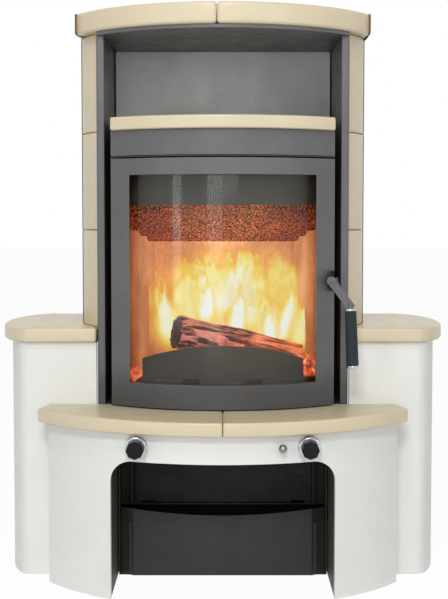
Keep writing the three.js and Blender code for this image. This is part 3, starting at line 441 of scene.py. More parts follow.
def steel_material(
    name, color, roughness, wear, grain=1100.0, metallic=0.15, glow=0.0, foot=None, gloss=0.3
):
    """Sprayed steel: satin, with a fine tooth and edges rubbed a little lighter.

    foot is the two heights between which the steel darkens downwards: painted shade along the
    bottom of the casing.
    """
    tree = open_material(name)
    base = mottled(tree, color, toned(color, 0.82), 7.0, 0.7)
    edged = mix_colors(tree, worn_edges(tree, 0.0025, wear), base, toned(color, 1.9))
    # painted shade: below the foot heights the steel is mixed halfway towards black
    if foot:
        edged = mix_colors(tree, remap(tree, on_axis(tree, "Z"), *foot, 0.0, 0.5), edged, BLACK)
    inputs = {
        "Base Color": edged,
        "Roughness": patchy(tree, 30.0, roughness - 0.06, roughness + 0.06, 4.0),
        "Metallic": metallic,
        "Specular IOR Level": gloss,
    }
    # painted firelight: the Fire Glow colour laid on the steel as emission
    if glow:
        inputs |= {"Emission Color": painted_firelight_color(tree, glow), "Emission Strength": 1.0}
    finish_material(tree, inputs, grain_height(tree, grain, 8.0, 0.6), 0.00025)


def firebrick_material(name, relief, pale, deep, grain, glow, painted_shade_falloff=None):
    """Pressed firebrick board: granular, stained by soot, and glowing with painted firelight.

    The falloff is an axis, a place on it, a near and a far distance from there, and the tint
    beyond: painted shade that dims the painted firelight away from that place.
    """
    tree = open_material(name)
    place = object_place(tree)
    inputs = {"Vector": place, "Scale": 230.0}
    cells = add_node(tree, "ShaderNodeTexVoronoi", inputs, feature="F1").outputs["Distance"]
    specks = noise_texture(tree, place, 200.0, 2.0, 0.7)
    mixed = add(tree, multiply(tree, cells, 0.5), multiply(tree, specks, 0.6))
    grains = remap(tree, mixed, 0.36, 0.6)
    base = mix_colors(tree, grains, linear(*pale), linear(*deep))
    sooty = remap(tree, noise_texture(tree, place, 7.0, 4.0), 0.4, 0.75, 0.0, 0.4)
    stained = mix_colors(tree, sooty, base, linear(70, 36, 26))
    shade = mix_colors(tree, grains, WHITE, toned(WHITE, 1 - grain))
    flecked = mix_colors(tree, 1.0, painted_firelight_color(tree, glow), shade, "MULTIPLY")
    # painted light: the board's own colour is added to the emission as if lit by the fire
    lit = mix_colors(tree, 1.0, flecked, stained, "ADD")
    # painted shade: away from the given place the glow is multiplied by the tint
    if painted_shade_falloff:
        axis, start, near, far, tint = painted_shade_falloff
        off = calculate(tree, "SUBTRACT", on_axis(tree, axis), start)
        away = remap(tree, calculate(tree, "ABSOLUTE", off), near, far)
        lit = mix_colors(tree, away, lit, mix_colors(tree, 1.0, lit, tint, "MULTIPLY"))
    inputs = {"Base Color": stained, "Roughness": 0.95}
    inputs |= {"Emission Color": lit, "Emission Strength": 0.8}
    finish_material(tree, inputs, calculate(tree, "SUBTRACT", 1.0, mixed), 0.0012 * relief)


def chrome_material(name, bright, dull):
    tree = open_material(name)
    brushed = noise_texture(tree, stretched(tree, (20, 20, 400)), 3.0)
    inputs = {
        "Base Color": mottled(tree, linear(*bright), linear(*dull), 30.0, 0.6),
        "Roughness": remap(tree, brushed, 0.3, 0.7, 0.09, 0.2),
        "Metallic": 1.0,
    }
    finish_material(tree, inputs, noise_texture(tree, object_place(tree), 500.0), 0.00005)


def plastic_material(name, color, roughness):
    """Moulded heat-proof plastic."""
    tree = open_material(name)
    base = mottled(tree, color, toned(color, 1.6), 40.0, 0.4)
    inputs = {
        "Base Color": mix_colors(tree, worn_edges(tree, 0.0015, 0.3), base, toned(color, 2.0)),
        "Roughness": patchy(tree, 90.0, roughness - 0.07, roughness + 0.07),
        "Specular IOR Level": 0.15,
    }
    finish_material(tree, inputs, grain_height(tree, 2400.0, 60.0, 0.4), 0.0002)


def glass_material():
    """Ceramic glass: clear, with faint streaks on its skin."""
    tint = bpy.context.scene.stove_window.tint
    tree = open_material("ceramic_glass")
    haze = noise_texture(tree, stretched(tree, (60, 60, 1.5)), 1.0)
    inputs = {
        "Base Color": mottled(tree, tint, toned(tint, 0.9), 4.0, 0.5),
        "Roughness": remap(tree, haze, 0.45, 0.8, 0.0, 0.03),
        "Transmission Weight": 1.0,
        "IOR": 1.01,
        "Coat Weight": 1.0,
        "Coat Roughness": 0.07,
        "Coat IOR": 1.25,
    }
    finish_material(tree, inputs, haze, 0.000002)


def rope_material():
    tree = open_material("woven_rope")
    fibres = noise_texture(tree, stretched(tree, (900, 900, 250)), 1.0, 3.0, 0.7)
    base = color_ramp(tree, fibres, (0.3, 58, 56, 54), (0.7, 128, 124, 118))
    inputs = {"Base Color": base, "Roughness": remap(tree, fibres, 0.3, 0.7, 0.85, 1.0)}
    finish_material(tree, inputs, fibres, 0.0008)


def bark_material():
    """Burning log: pinkish ash over char, dark cracks, red heat towards the hot end; the cooler
    bark glows in its own colour as painted firelight.
    """
    tree = open_material("burning_bark")
    burn, ridge = attribute(tree, "burn"), attribute(tree, "ridge")
    place = object_place(tree)
    patches = noise_texture(tree, place, 30.0, 5.0, 0.65)
    ashes = [(0.3, 70, 40, 38), (0.45, 150, 84, 70), (0.6, 196, 122, 104), (0.78, 104, 74, 76)]
    cracks = remap(tree, ridge, 0.3, 0.5, 0.92, 0.0)
    cold = mix_colors(tree, cracks, color_ramp(tree, patches, *ashes), linear(34, 20, 18))
    heat = multiply(tree, patches, add(tree, burn, 0.35))
    embers = [(0.0, 120, 40, 22), (0.4, 226, 84, 38), (0.75, 255, 140, 70), (1.0, 255, 214, 130)]
    chinks = remap(tree, ridge, 0.25, 0.45, 0.75, 0.0)
    hot = mix_colors(tree, chinks, color_ramp(tree, heat, *embers), linear(60, 22, 14))
    share = remap(tree, add(tree, burn, multiply(tree, patches, 0.5)), 0.72, 1.15)
    inputs = {
        "Base Color": cold,
        # painted firelight on the cooler bark; towards the hot end the emission is the wood's own
        # heat
        "Emission Color": mix_colors(tree, share, cold, hot),
        "Emission Strength": 0.75,
        "Roughness": remap(tree, patches, 0.3, 0.7, 0.8, 1.0),
    }
    finish_material(tree, inputs, noise_texture(tree, place, 260.0, 4.0, 0.7), 0.0015)


def ember_material():
    tree = open_material("glowing_embers")
    patches = noise_texture(tree, object_place(tree), 55.0, 4.0, 0.6)
    glow = [(0.32, 46, 20, 16), (0.46, 206, 58, 24), (0.6, 255, 132, 58), (0.75, 255, 214, 130)]
    inputs = {
        "Base Color": color_ramp(tree, patches, (0.3, 40, 30, 28), (0.7, 150, 140, 132)),
        "Emission Color": color_ramp(tree, patches, *glow),
        "Emission Strength": 1.0,
        "Roughness": 0.95,
    }
    finish_material(tree, inputs, patches, 0.002)


def flame_material():
    """Flame: clear at its rims and tip, white at its heart, torn and bent by noise."""
    tree = open_material("flame")
    across, along, heart = [attribute(tree, name) for name in FLAME_LAYERS]
    slow = noise_texture(tree, stretched(tree, (13, 13, 7)), 1.0, 2.0)
    quick = noise_texture(tree, stretched(tree, (46, 30, 17)), 1.0, 3.0, 0.6)
    drift, licks = [calculate(tree, "SUBTRACT", value, 0.5) for value in (slow, quick)]
    bend = add(tree, multiply(tree, drift, 1.9), multiply(tree, licks, 0.7))
    rise = remap(tree, along, 0.0, 0.7, 0.15, 1.0)
    rim = calculate(tree, "ABSOLUTE", add(tree, across, multiply(tree, bend, rise)))
    inside = remap(tree, calculate(tree, "ABSOLUTE", across), 1.0, 0.62)
    body = multiply(tree, remap(tree, rim, 0.95, 0.05), inside)
    torn = add(tree, along, multiply(tree, licks, 1.1))
    tip = remap(tree, torn, 1.0, remap(tree, heart, 0.6, 0.95, 0.78, 0.42))
    tip = multiply(tree, tip, remap(tree, along, 1.0, 0.8))
    foot = remap(tree, along, 0.0, 0.34)
    cover = multiply(tree, multiply(tree, body, tip), foot)
    heat = multiply(tree, calculate(tree, "POWER", cover, 0.8), heart)
    strength = remap(tree, heart, 0.2, 1.1, 0.75, 1.25)
    glow = [
        (0.0, 236, 128, 44),
        (0.22, 250, 176, 66),
        (0.45, 255, 222, 100),
        (0.68, 255, 243, 166),
        (0.92, 255, 254, 244),
    ]
    inputs = {
        "Base Color": BLACK,
        "Emission Color": color_ramp(tree, heat, *glow),
        "Emission Strength": 1.0,
        "Alpha": multiply(tree, cover, strength, clamp=True),
        "Roughness": 1.0,
        "Specular IOR Level": 0.0,
    }
    finish_material(tree, inputs)


def build_materials():
    casing = bpy.context.scene.stove_casing
    handle = bpy.context.scene.stove_handle
    glaze_material()
    paint_material()
    # the casing darkens below 0.48 m as painted shade
    steel_material("casing_steel", casing.grey, 0.38, 0.35, foot=(0.48, 0.40), gloss=0.55)
    # painted light: a much paler copy of the casing's grey steel, standing in for the light on the
    # niche's back
    steel_material("painted_lit_niche_steel", linear(214, 214, 215), 0.5, 0.2)
    steel_material("cheek_steel", linear(74, 80, 68), 0.6, 0.2)
    # partly the ash door's own brownish dark, partly painted shade of the arch above it
    steel_material("ash_steel", linear(40, 36, 33), 0.6, 0.5)
    steel_material("pedestal_steel", casing.dark, 0.5, 0.3)
    # steel near the fire glows faintly with painted firelight
    steel_material("hot_steel", linear(70, 70, 67), 0.45, 0.3, glow=0.02)
    iron = linear(58, 58, 56)
    steel_material("fire_iron", iron, 0.6, 0.4, grain=500.0, metallic=0.2, glow=0.03)
    # painted shade: the linings' glow dims towards the room, the baffles' towards their corners
    shade_towards_room = ("Y", 0.12, 0.05, 0.23, (0.4, 0.19, 0.14))
    shade_towards_corners = ("X", 0.0, 0.04, 0.19, (0.62, 0.42, 0.34))
    firebrick_material("lining_board", 0.2, (146, 78, 48), (122, 62, 38), 0.15, 1.15, shade_towards_room)
    firebrick_material("rear_board", 0.2, (156, 92, 62), (132, 74, 48), 0.12, 1.5)
    firebrick_material("baffle_board", 1.0, (216, 104, 58), (58, 14, 6), 0.9, 0.32, shade_towards_corners)
    chrome_material("polished_chrome", (206, 206, 212), (168, 170, 176))
    chrome_material("smoky_chrome", (138, 141, 142), (104, 106, 108))
    plastic_material("grip_sleeve_rubber", handle.sleeve, 0.55)
    plastic_material("knob_plastic", handle.knob, 0.5)
    glass_material()
    rope_material()
    bark_material()
    ember_material()
    flame_material()


# ---------- mesh helpers
def merged_copy(node):
    """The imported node's own mesh as a bmesh: doubles merged and flat faces joined."""
    mesh = bmesh.new()
    mesh.from_mesh(NODES[node].data)
    bmesh.ops.remove_doubles(mesh, verts=mesh.verts, dist=MERGE)
    bmesh.ops.dissolve_limit(mesh, angle_limit=FLAT_ANGLE, verts=mesh.verts, edges=mesh.edges)
    return mesh


def new_piece(name, mesh, material, smooth=True):
    """An object at the origin from a bmesh, which is freed."""
    data = bpy.data.meshes.new(name)
    mesh.to_mesh(data)
    mesh.free()
    piece = bpy.data.objects.new(name, data)
    bpy.context.scene.collection.objects.link(piece)
    data.materials.append(bpy.data.materials[material])
    if smooth:
        data.shade_smooth()
        data.set_sharp_from_angle(angle=SMOOTH_ANGLE)
    return piece


def settle(piece):
    """Turns the piece's modifiers into plain mesh."""
    depsgraph = bpy.context.evaluated_depsgraph_get()
    data = bpy.data.meshes.new_from_object(piece.evaluated_get(depsgraph))
    piece.modifiers.clear()
    piece.data = data


def stand_for(piece, node):
    """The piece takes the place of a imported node: its body and its visibility."""
    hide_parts(node)
    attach(piece, NODES[node]["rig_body"])
    return piece


def softened(node, material, slot, width, segments=2):
    """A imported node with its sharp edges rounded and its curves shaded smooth."""
    piece = new_piece(node + "_finish", merged_copy(node), material)
    bevel = piece.modifiers.new("edges", "BEVEL")
    bevel.width = width
    bevel.segments = segments
    bevel.limit_method = "ANGLE"
    bevel.angle_limit = SMOOTH_ANGLE
    bevel.use_clamp_overlap = True
    weighted = piece.modifiers.new("normals", "WEIGHTED_NORMAL")
    weighted.keep_sharp = True
    settle(piece)
    return stand_for(piece, node)


def soften_all(nodes, *finish):
    for node in nodes.split():
        softened(node, *finish)


def level_outline(node):
    """The widest level outline of an extruded node as plan points, and the node's two heights."""
    mesh = merged_copy(node)
    low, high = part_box(node)
    levels = {}
    for edge in mesh.edges:
        first, second = edge.verts
        if abs(first.co.z - second.co.z) < MERGE and low.z + MERGE < first.co.z < high.z - MERGE:
            levels.setdefault(round(first.co.z, 5), []).append(edge)

    def spread(edges):
        xs = [vertex.co.x for edge in edges for vertex in edge.verts]
        return max(xs) - min(xs)

    edges = max(levels.values(), key=lambda found: (round(spread(found), 5), len(found)))
    neighbours = {}
    for edge in edges:
        first, second = edge.verts
        neighbours.setdefault(first, []).append(second)
        neighbours.setdefault(second, []).append(first)
    start = edges[0].verts[0]
    loop, previous, current = [], None, start
    while True:
        loop.append(Vector((current.co.x, current.co.y)))
        onward = [vertex for vertex in neighbours[current] if vertex is not previous]
        previous, current = current, onward[0]
        if current is start:
            break
    mesh.free()
    area = sum(a.x * b.y - b.x * a.y for a, b in zip(loop, loop[1:] + loop[:1]))
    return loop if area > 0 else loop[::-1], low.z, high.z


def turning(before, here, after):
    """Signed angle by which an outline turns at a point."""
    first = (here - before).normalized()
    second = (after - here).normalized()
    return math.atan2(first.x * second.y - first.y * second.x, first.dot(second))


def refine_outline(loop, corner, fine=3):
    """Adds points along the curved runs and rounds the sharp corners of an outline."""
    count = len(loop)
    angles = [turning(loop[i - 1], loop[i], loop[(i + 1) % count]) for i in range(count)]
    sharp = [abs(angle) > CORNER_ANGLE for angle in angles]
    points = []
    for i in range(count):
        here, after = loop[i], loop[(i + 1) % count]
        if sharp[i]:
            room = 0.45 * min((here - loop[i - 1]).length, (after - here).length)
            inset = min(corner * math.tan(abs(angles[i]) / 2), room)
            start = here + (loop[i - 1] - here).normalized() * inset
            end = here + (after - here).normalized() * inset
            for step in range(CORNER_STEPS + 1):
                t = step / CORNER_STEPS
                points.append(start * (1 - t) ** 2 + here * 2 * t * (1 - t) + end * t**2)
        else:
            points.append(here.copy())
        if not sharp[i] and not sharp[(i + 1) % count] and abs(angles[i]) > 0.01:
            before, beyond = loop[i - 1], loop[(i + 2) % count]
            for step in range(1, fine):
                points.append(spline(before, here, after, beyond, step / fine))
    return points


def spline(before, here, after, beyond, t):
    """Point on a smooth curve between here and after."""
    return 0.5 * (
        2 * here
        + (after - before) * t
        + (2 * before - 5 * here + 4 * after - beyond) * t**2
        + (3 * here - before - 3 * after + beyond) * t**3
    )


def inset_points(points, distance):
    """The outline moved inwards by a distance."""
    count = len(points)
    moved = []
    for i in range(count):
        first = (points[i] - points[i - 1]).normalized()
        second = (points[(i + 1) % count] - points[i]).normalized()
        inward = Vector((-first.y - second.y, first.x + second.x)).normalized()
        share = max(0.5, inward.dot(Vector((-first.y, first.x))))
        moved.append(points[i] + inward * distance / share)
    return moved


def join_loops(mesh, loops):
    """Faces between each closed loop and the next."""
    count = len(loops[0])
    for lower, upper in zip(loops, loops[1:]):
        for i in range(count):
            j = (i + 1) % count
            mesh.faces.new((lower[i], lower[j], upper[j], upper[i]))


def ceramic_body(points, low, high, edge, segments=5):
    """A slab with quarter-round upper and lower edges, on which its edge attribute rises to 1."""
    mesh = bmesh.new()
    thin = mesh.verts.layers.float.new("edge")
    rings = []
    for step in range(segments + 1):
        turn = math.pi / 2 * step / segments
        inset, rise = edge * (1 - math.sin(turn)), edge * (1 - math.cos(turn))
        rings.append((inset, low + rise, 1 - step / segments))
    rings += [(inset, high - (z - low), share) for inset, z, share in reversed(rings)]
    loops = []
    for inset, z, share in rings:
        loop = [mesh.verts.new((*point, z)) for point in inset_points(points, inset)]
        for vertex in loop:
            vertex[thin] = share
        loops.append(loop)
    join_loops(mesh, loops)
    mesh.faces.new(loops[0][::-1])
    mesh.faces.new(loops[-1])
    bmesh.ops.triangulate(mesh, faces=[face for face in mesh.faces if len(face.verts) > 4])
    return mesh


def glazed_piece(node, edge=None):
    """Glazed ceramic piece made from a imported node's outline."""
    settings = bpy.context.scene.stove_glaze
    loop, low, high = level_outline(node)
    edge = edge or settings.edge
    points = refine_outline(loop, max(settings.corner, edge + 0.0005))
    piece = new_piece(node + "_glazed", ceramic_body(points, low, high, edge), "cream_glaze")
    limits = list(zip(*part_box(node)))
    for vertex in piece.data.vertices:
        vertex.co = [min(max(value, low), high) for value, (low, high) in zip(vertex.co, limits)]
    stand_for(piece, node)


def front_bow(points):
    """Plan centre y and radius of the front face of a bowed node's points."""
    front = min(point.y for point in points)
    half = max(point.x for point in points)
    end = min(point.y for point in points if point.x > half - MERGE)
    depth = end - front
    radius = (half * half + depth * depth) / (2 * depth)
    return front + radius, radius


def fire_heart():
    """Middle of the flames, over the large log."""
    low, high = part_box("log_large")
    return ((low.x + high.x) / 2 - 0.02, (low.y + high.y) / 2, high.z + 0.06)


# ---------- operators
class STOVE_OT_glazed_ceramic(bpy.types.Operator):
    """Glazed slabs, side tiles, shelf and cap"""

    bl_idname = "stove.glazed_ceramic"
    bl_label = "Glazed Ceramic"

    def execute(self, context):
        for side in SIDES:
            glazed_piece(f"cap_{side}", 0.007)
            glazed_piece(f"side_slab_{side}")
            glazed_piece(f"front_slab_{side}")
            for row in (1, 2, 3):
                glazed_piece(f"side_tile_{side}_{row}", 0.004)
        glazed_piece("shelf_tile", 0.004)
        return {"FINISHED"}


class STOVE_OT_painted_panels(bpy.types.Operator):
    """Painted apron and side bodies of the bench"""

    bl_idname = "stove.painted_panels"
    bl_label = "Painted Panels"

    def execute(self, context):
        nodes = "apron side_body_left side_body_right"
        soften_all(nodes, "white_paint", "white_panel", 0.0015, 3)
        return {"FINISHED"}


class STOVE_OT_grey_casing(bpy.types.Operator):
    """Grey steel body of the stove: posts, header, niche, rim and door frame"""

    bl_idname = "stove.grey_casing"
    bl_label = "Grey Casing"

    def execute(self, context):
        edge = context.scene.stove_casing.edge
        nodes = "side_panel_left side_panel_right header_panel top_plate door_frame"
        soften_all(nodes, "casing_steel", "grey_steel", edge)
        # the niche's back gets the pale copy of the casing steel, painted light
        softened("niche_back", "painted_lit_niche_steel", "grey_steel", edge)
        softened("rear_panel", "casing_steel", "grey_steel", edge)
        return {"FINISHED"}


class STOVE_OT_dark_sheets(bpy.types.Operator):
    """Dark sheets of pedestal, drawers, cheeks and firebox"""

    bl_idname = "stove.dark_sheets"
    bl_label = "Dark Sheets"

    def execute(self, context):
        edge = context.scene.stove_casing.edge
        nodes = "pedestal log_drawer ash_pan deck_plate smoke_duct flue_collar"
        soften_all(nodes, "pedestal_steel", "dark_steel", edge)
        # ash frame, door and latch take the steel darkened with painted shade
        soften_all("ash_front_frame ash_door", "ash_steel", "dark_steel", 0.0006)
        softened("ash_latch", "ash_steel", "grey_steel", 0.0006)
        for side in SIDES:
            vertices = softened(f"cheek_{side}", "cheek_steel", "dark_steel", edge).data.vertices
            middle = sum(vertex.co.y for vertex in vertices) / len(vertices)
            for vertex in vertices:
                if vertex.co.y > middle:
                    vertex.co.y += CHEEK_RETURN
        nodes = "front_frame firebox_shell glass_retainer"
        soften_all(nodes, "hot_steel", "dark_steel", 0.0005)
        return {"FINISHED"}


class STOVE_OT_window(bpy.types.Operator):
    """Curved glass and rope seal"""

    bl_idname = "stove.window"
    bl_label = "Window"

    def execute(self, context):
        steps = context.scene.stove_window.steps
        low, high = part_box("door_glass")
        points = [vertex.co for vertex in NODES["door_glass"].data.vertices]
        centre_y, radius = front_bow(points)
        back = max(point.y for point in points if abs(point.x) < GLASS_MIDDLE)
        inner = radius - (back - low.y)
        half_angle = math.asin(high.x / radius)
        mesh = bmesh.new()
        columns = []
        for step in range(steps + 1):
            angle = -half_angle + 2 * half_angle * step / steps
            column = []
            for r, z in ((radius, low.z), (radius, high.z), (inner, high.z), (inner, low.z)):
                place = (r * math.sin(angle), centre_y - r * math.cos(angle), z)
                column.append(mesh.verts.new(place))
            columns.append(column)
        join_loops(mesh, columns)
        mesh.faces.new(columns[0])
        mesh.faces.new(columns[-1][::-1])
        bmesh.ops.recalc_face_normals(mesh, faces=mesh.faces)
        stand_for(new_piece("window_glass", mesh, "ceramic_glass"), "door_glass")
        softened("door_seal", "woven_rope", "seal_rope", 0.002, 3)
        return {"FINISHED"}


class STOVE_OT_handle(bpy.types.Operator):
    """Door handle: bracket, lever, chrome core and sleeve"""

    bl_idname = "stove.handle"
    bl_label = "Door Handle"

    def execute(self, context):
        softened("handle_bracket", "knob_plastic", "black_plastic", 0.0008)
        softened("handle_lever", "casing_steel", "grey_steel", 0.0006)
        softened("grip_core", "polished_chrome", "chrome", 0.0009, 3)
        softened("grip_sleeve", "grip_sleeve_rubber", "black_plastic", 0.0006)
        return {"FINISHED"}


class STOVE_OT_controls(bpy.types.Operator):
    """Air knobs in their bezels and the grate shaker"""

    bl_idname = "stove.controls"
    bl_label = "Controls"

    def execute(self, context):
        for side in SIDES:
            softened(f"air_knob_{side}", "knob_plastic", "black_plastic", 0.0012, 3)
            softened(f"knob_bezel_{side}", "polished_chrome", "chrome", 0.0015, 3)
        softened("grate_shaker", "smoky_chrome", "chrome", 0.0004)
        return {"FINISHED"}


class STOVE_OT_fire_space(bpy.types.Operator):
    """Linings, baffles, floor, grate and ember guard"""

    bl_idname = "stove.fire_space"
    bl_label = "Fire Space"

    def execute(self, context):
        for side in SIDES:
            softened(f"lining_{side}", "lining_board", "vermiculite", 0.0015)
            softened(f"baffle_{side}", "baffle_board", "vermiculite", 0.0015)
        softened("lining_back", "rear_board", "vermiculite", 0.0015)
        soften_all("firebox_floor grate ember_guard", "fire_iron", "cast_iron", 0.0012)
        return {"FINISHED"}


def log_axis(node):
    """Middle, direction, half length and radius of a log."""
    points = np.array([vertex.co for vertex in NODES[node].data.vertices])
    middle = (points.min(0) + points.max(0)) / 2
    spread, directions = np.linalg.eigh(np.cov((points - middle).T))
    axis = directions[:, int(np.argmax(spread))]
    axis = axis if axis[0] > 0 else -axis
    along = (points - middle) @ axis
    off = points - middle - np.outer(along, axis)
    radius = np.linalg.norm(off, axis=1).max()
    return Vector(middle), Vector(axis), (along.max() - along.min()) / 2, radius


LOG_TAPER = 0.16  # share by which a log is thinner at its right end
LOG_SLANT = 0.014  # how far the sawn left end leans
LOG_LIFT = 0.002  # gap that lets the grate slide under the bark
LOG_DROOP = 0.006  # how far the thin end hangs


def log_surface(node, seed, rings=150, around=110, ends=5):
    """A log's skin: bark ridges along it, knots and a chipped, sawn end at each side."""
    middle, axis, half, radius = log_axis(node)
    up = Vector((0, 0, 1))
    side = axis.cross(up).normalized()
    top = side.cross(axis).normalized()
    mesh = bmesh.new()
    ridge_layer = mesh.verts.layers.float.new("ridge")
    burn_layer = mesh.verts.layers.float.new("burn")
    loops = []
    for ring in range(-ends, rings + ends + 1):
        inside = min(max(ring, 0), rings)
        t = inside / rings
        cap = (inside - ring if ring < 0 else ring - inside) / ends
        loop = []
        for i in range(around):
            turn = 2 * math.pi * i / around
            direction = side * math.cos(turn) + top * math.sin(turn)
            spot = Vector((math.cos(turn) * 1.1, math.sin(turn) * 1.1, seed + 3.2 * t))
            coarse = Vector((spot.x * 3.4, spot.y * 3.4, spot.z * 1.3))
            crag = noise.fractal(coarse, 1.0, 2.1, 4)
            plates = abs(noise.noise(Vector((spot.x * 6, spot.y * 6, spot.z * 2.2))))
            knots = noise.noise(spot * 1.4)
            height = min(max(0.5 + 0.6 * crag + 0.8 * (plates - 0.25), 0.0), 1.0)
            lump = noise.noise(Vector((math.cos(turn), math.sin(turn), seed + 2.6 * t + 4)))
            swell = radius * (0.84 + 0.09 * height + 0.04 * knots + 0.09 * lump)
            r = swell * (1 - LOG_TAPER * t) * (1 - 0.97 * cap)
            chip = 0.004 * noise.noise(Vector((spot.x * 5, spot.y * 5, seed + 9 * t)))
            slant = LOG_SLANT * direction.y * (r / radius) * max(0.0, 1 - 6 * t)
            run = (2 * t - 1) * (half - 0.008) + chip - slant
            rise = LOG_LIFT - LOG_DROOP * t**2
            vertex = mesh.verts.new(middle + axis * run + direction * r + up * rise)
            vertex[ridge_layer] = height if cap == 0 else 0.15 * height
            vertex[burn_layer] = burn_at(t, turn, cap)
            loop.append(vertex)
        loops.append(loop)
    join_loops(mesh, loops)
    mesh.faces.new(loops[0])
    mesh.faces.new(loops[-1])
    bmesh.ops.recalc_face_normals(mesh, faces=mesh.faces)
    return mesh


def burn_at(t, turn, cap):
    """How hot the log glows: little at its left end, most at its right end and underside."""
    under = 0.5 - 0.5 * math.sin(turn)
    return min(1.0, (0.18 + 0.95 * t**1.4 + 0.35 * under) * (1 - 0.8 * cap))


class STOVE_OT_logs(bpy.types.Operator):
    """Burning logs on the grate"""

    bl_idname = "stove.logs"
    bl_label = "Logs"

    def execute(self, context):
        for seed, node in enumerate(("log_large", "log_small")):
            bark = new_piece(node + "_bark", log_surface(node, 7.0 * seed), "burning_bark")
            stand_for(bark, node)
        return {"FINISHED"}


def ember_tree():
    """Lumps of many sizes scattered over a patch of floor."""
    tree = bpy.data.node_groups.new("Ember Bed", "GeometryNodeTree")
    sockets = tree.interface
    sockets.new_socket("Geometry", in_out="INPUT", socket_type="NodeSocketGeometry")
    for name in ("Density", "Size"):
        sockets.new_socket(name, in_out="INPUT", socket_type="NodeSocketFloat")
    sockets.new_socket("Geometry", in_out="OUTPUT", socket_type="NodeSocketGeometry")
    given = tree.nodes.new("NodeGroupInput").outputs
    lump = add_node(tree, "GeometryNodeMeshIcoSphere", {"Radius": 1.0, "Subdivisions": 3})
    crag = add_node(tree, "ShaderNodeTexNoise", {"Scale": 1.6, "Detail": 3.0}).outputs["Fac"]
    normal = tree.nodes.new("GeometryNodeInputNormal").outputs[0]
    push = vector_math(tree, "SCALE", {0: normal, "Scale": crag})[0]
    inputs = {"Geometry": lump.outputs[0], "Offset": push}
    rough = add_node(tree, "GeometryNodeSetPosition", inputs).outputs[0]
    inputs = {"Mesh": given["Geometry"], "Density": given["Density"], "Seed": 4}
    points = add_node(tree, "GeometryNodeDistributePointsOnFaces", inputs).outputs["Points"]
    random = "FunctionNodeRandomValue"
    inputs = {"Max": (6.3, 6.3, 6.3), "Seed": 2}
    turn = add_node(tree, random, inputs, data_type="FLOAT_VECTOR").outputs[0]
    spread = add_node(tree, random, {2: 0.45, 3: 1.25, "Seed": 3}, data_type="FLOAT").outputs[1]
    scale = multiply(tree, spread, given["Size"])
    inputs = {"Points": points, "Instance": rough, "Rotation": turn, "Scale": scale}
    placed = add_node(tree, "GeometryNodeInstanceOnPoints", inputs).outputs[0]
    real = add_node(tree, "GeometryNodeRealizeInstances", {"Geometry": placed}).outputs[0]
    inputs = {"Geometry": real, "Material": bpy.data.materials["glowing_embers"]}
    coated = add_node(tree, "GeometryNodeSetMaterial", inputs).outputs[0]
    tree.links.new(coated, tree.nodes.new("NodeGroupOutput").inputs[0])
    return tree


class STOVE_OT_embers(bpy.types.Operator):
    """Bed of embers on the firebox floor, heaped at the sides of the ember guard"""

    bl_idname = "stove.embers"
    bl_label = "Embers"

    def execute(self, context):
        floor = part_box("firebox_floor")[1]
        lump = 0.013
        z = floor.z + 0.45 * lump
        left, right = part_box("ember_guard")
        front, back = right.y - 0.012, right.y + 0.07
        patches = [(-0.15, 0.15, right.y + 0.03, floor.y - 0.06, z)]
        patches += [(-0.19, left.x - 0.004, front, back, z)]
        patches += [(right.x + 0.003, 0.19, front, back, z + lump * layer) for layer in range(3)]
        mesh = bmesh.new()
        for x0, x1, y0, y1, level in patches:
            corners = [(x0, y0, level), (x1, y0, level), (x1, y1, level), (x0, y1, level)]
            mesh.faces.new([mesh.verts.new(corner) for corner in corners])
        piece = new_piece("ember_bed", mesh, "glowing_embers", smooth=False)
        modifier = piece.modifiers.new("embers", "NODES")
        modifier.node_group = ember_tree()
        sockets = {item.name: item.identifier for item in modifier.node_group.interface.items_tree}
        modifier[sockets["Density"]] = context.scene.stove_fire.embers / EMBER_FLOOR
        modifier[sockets["Size"]] = lump / 1.6
        settle(piece)
        piece.data.shade_smooth()
        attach(piece, "root")
        return {"FINISHED"}


# in millimetres: foot (x, y behind the log's middle, z), height, half width, lean, sway; and heat
FLAMES = [
    (-105, 94, 440, 255, 140, 10, 4, 0.50),
    (-45, 90, 450, 272, 160, 15, 4, 0.64),
    (30, 98, 450, 276, 170, 10, 4, 0.72),
    (105, 86, 440, 255, 150, 0, 4, 0.55),
    (30, 106, 540, 172, 230, 20, 1, 0.68),
    (-60, 111, 560, 150, 150, -20, 1, 0.40),
    (10, 81, 520, 190, 150, 20, 4, 0.86),
    (-20, 73, 505, 205, 75, -30, 4, 0.88),
    (-118, 50, 455, 215, 50, -18, 6, 0.85),
    (-83, 64, 490, 180, 60, 20, 4, 0.66),
    (49, 66, 490, 180, 65, 30, 4, 0.78),
    (98, 57, 470, 160, 65, -24, 3, 0.78),
    (146, 63, 465, 190, 60, 6, 4, 0.80),
    (166, 50, 455, 150, 50, 20, 4, 0.70),
    (-36, 43, 510, 170, 36, -30, 4, 1.05),
    (31, 40, 475, 170, 32, -4, 4, 1.05),
    (112, 34, 465, 135, 30, -16, 2, 0.98),
    (126, 43, 465, 180, 30, 34, 2, 0.98),
]


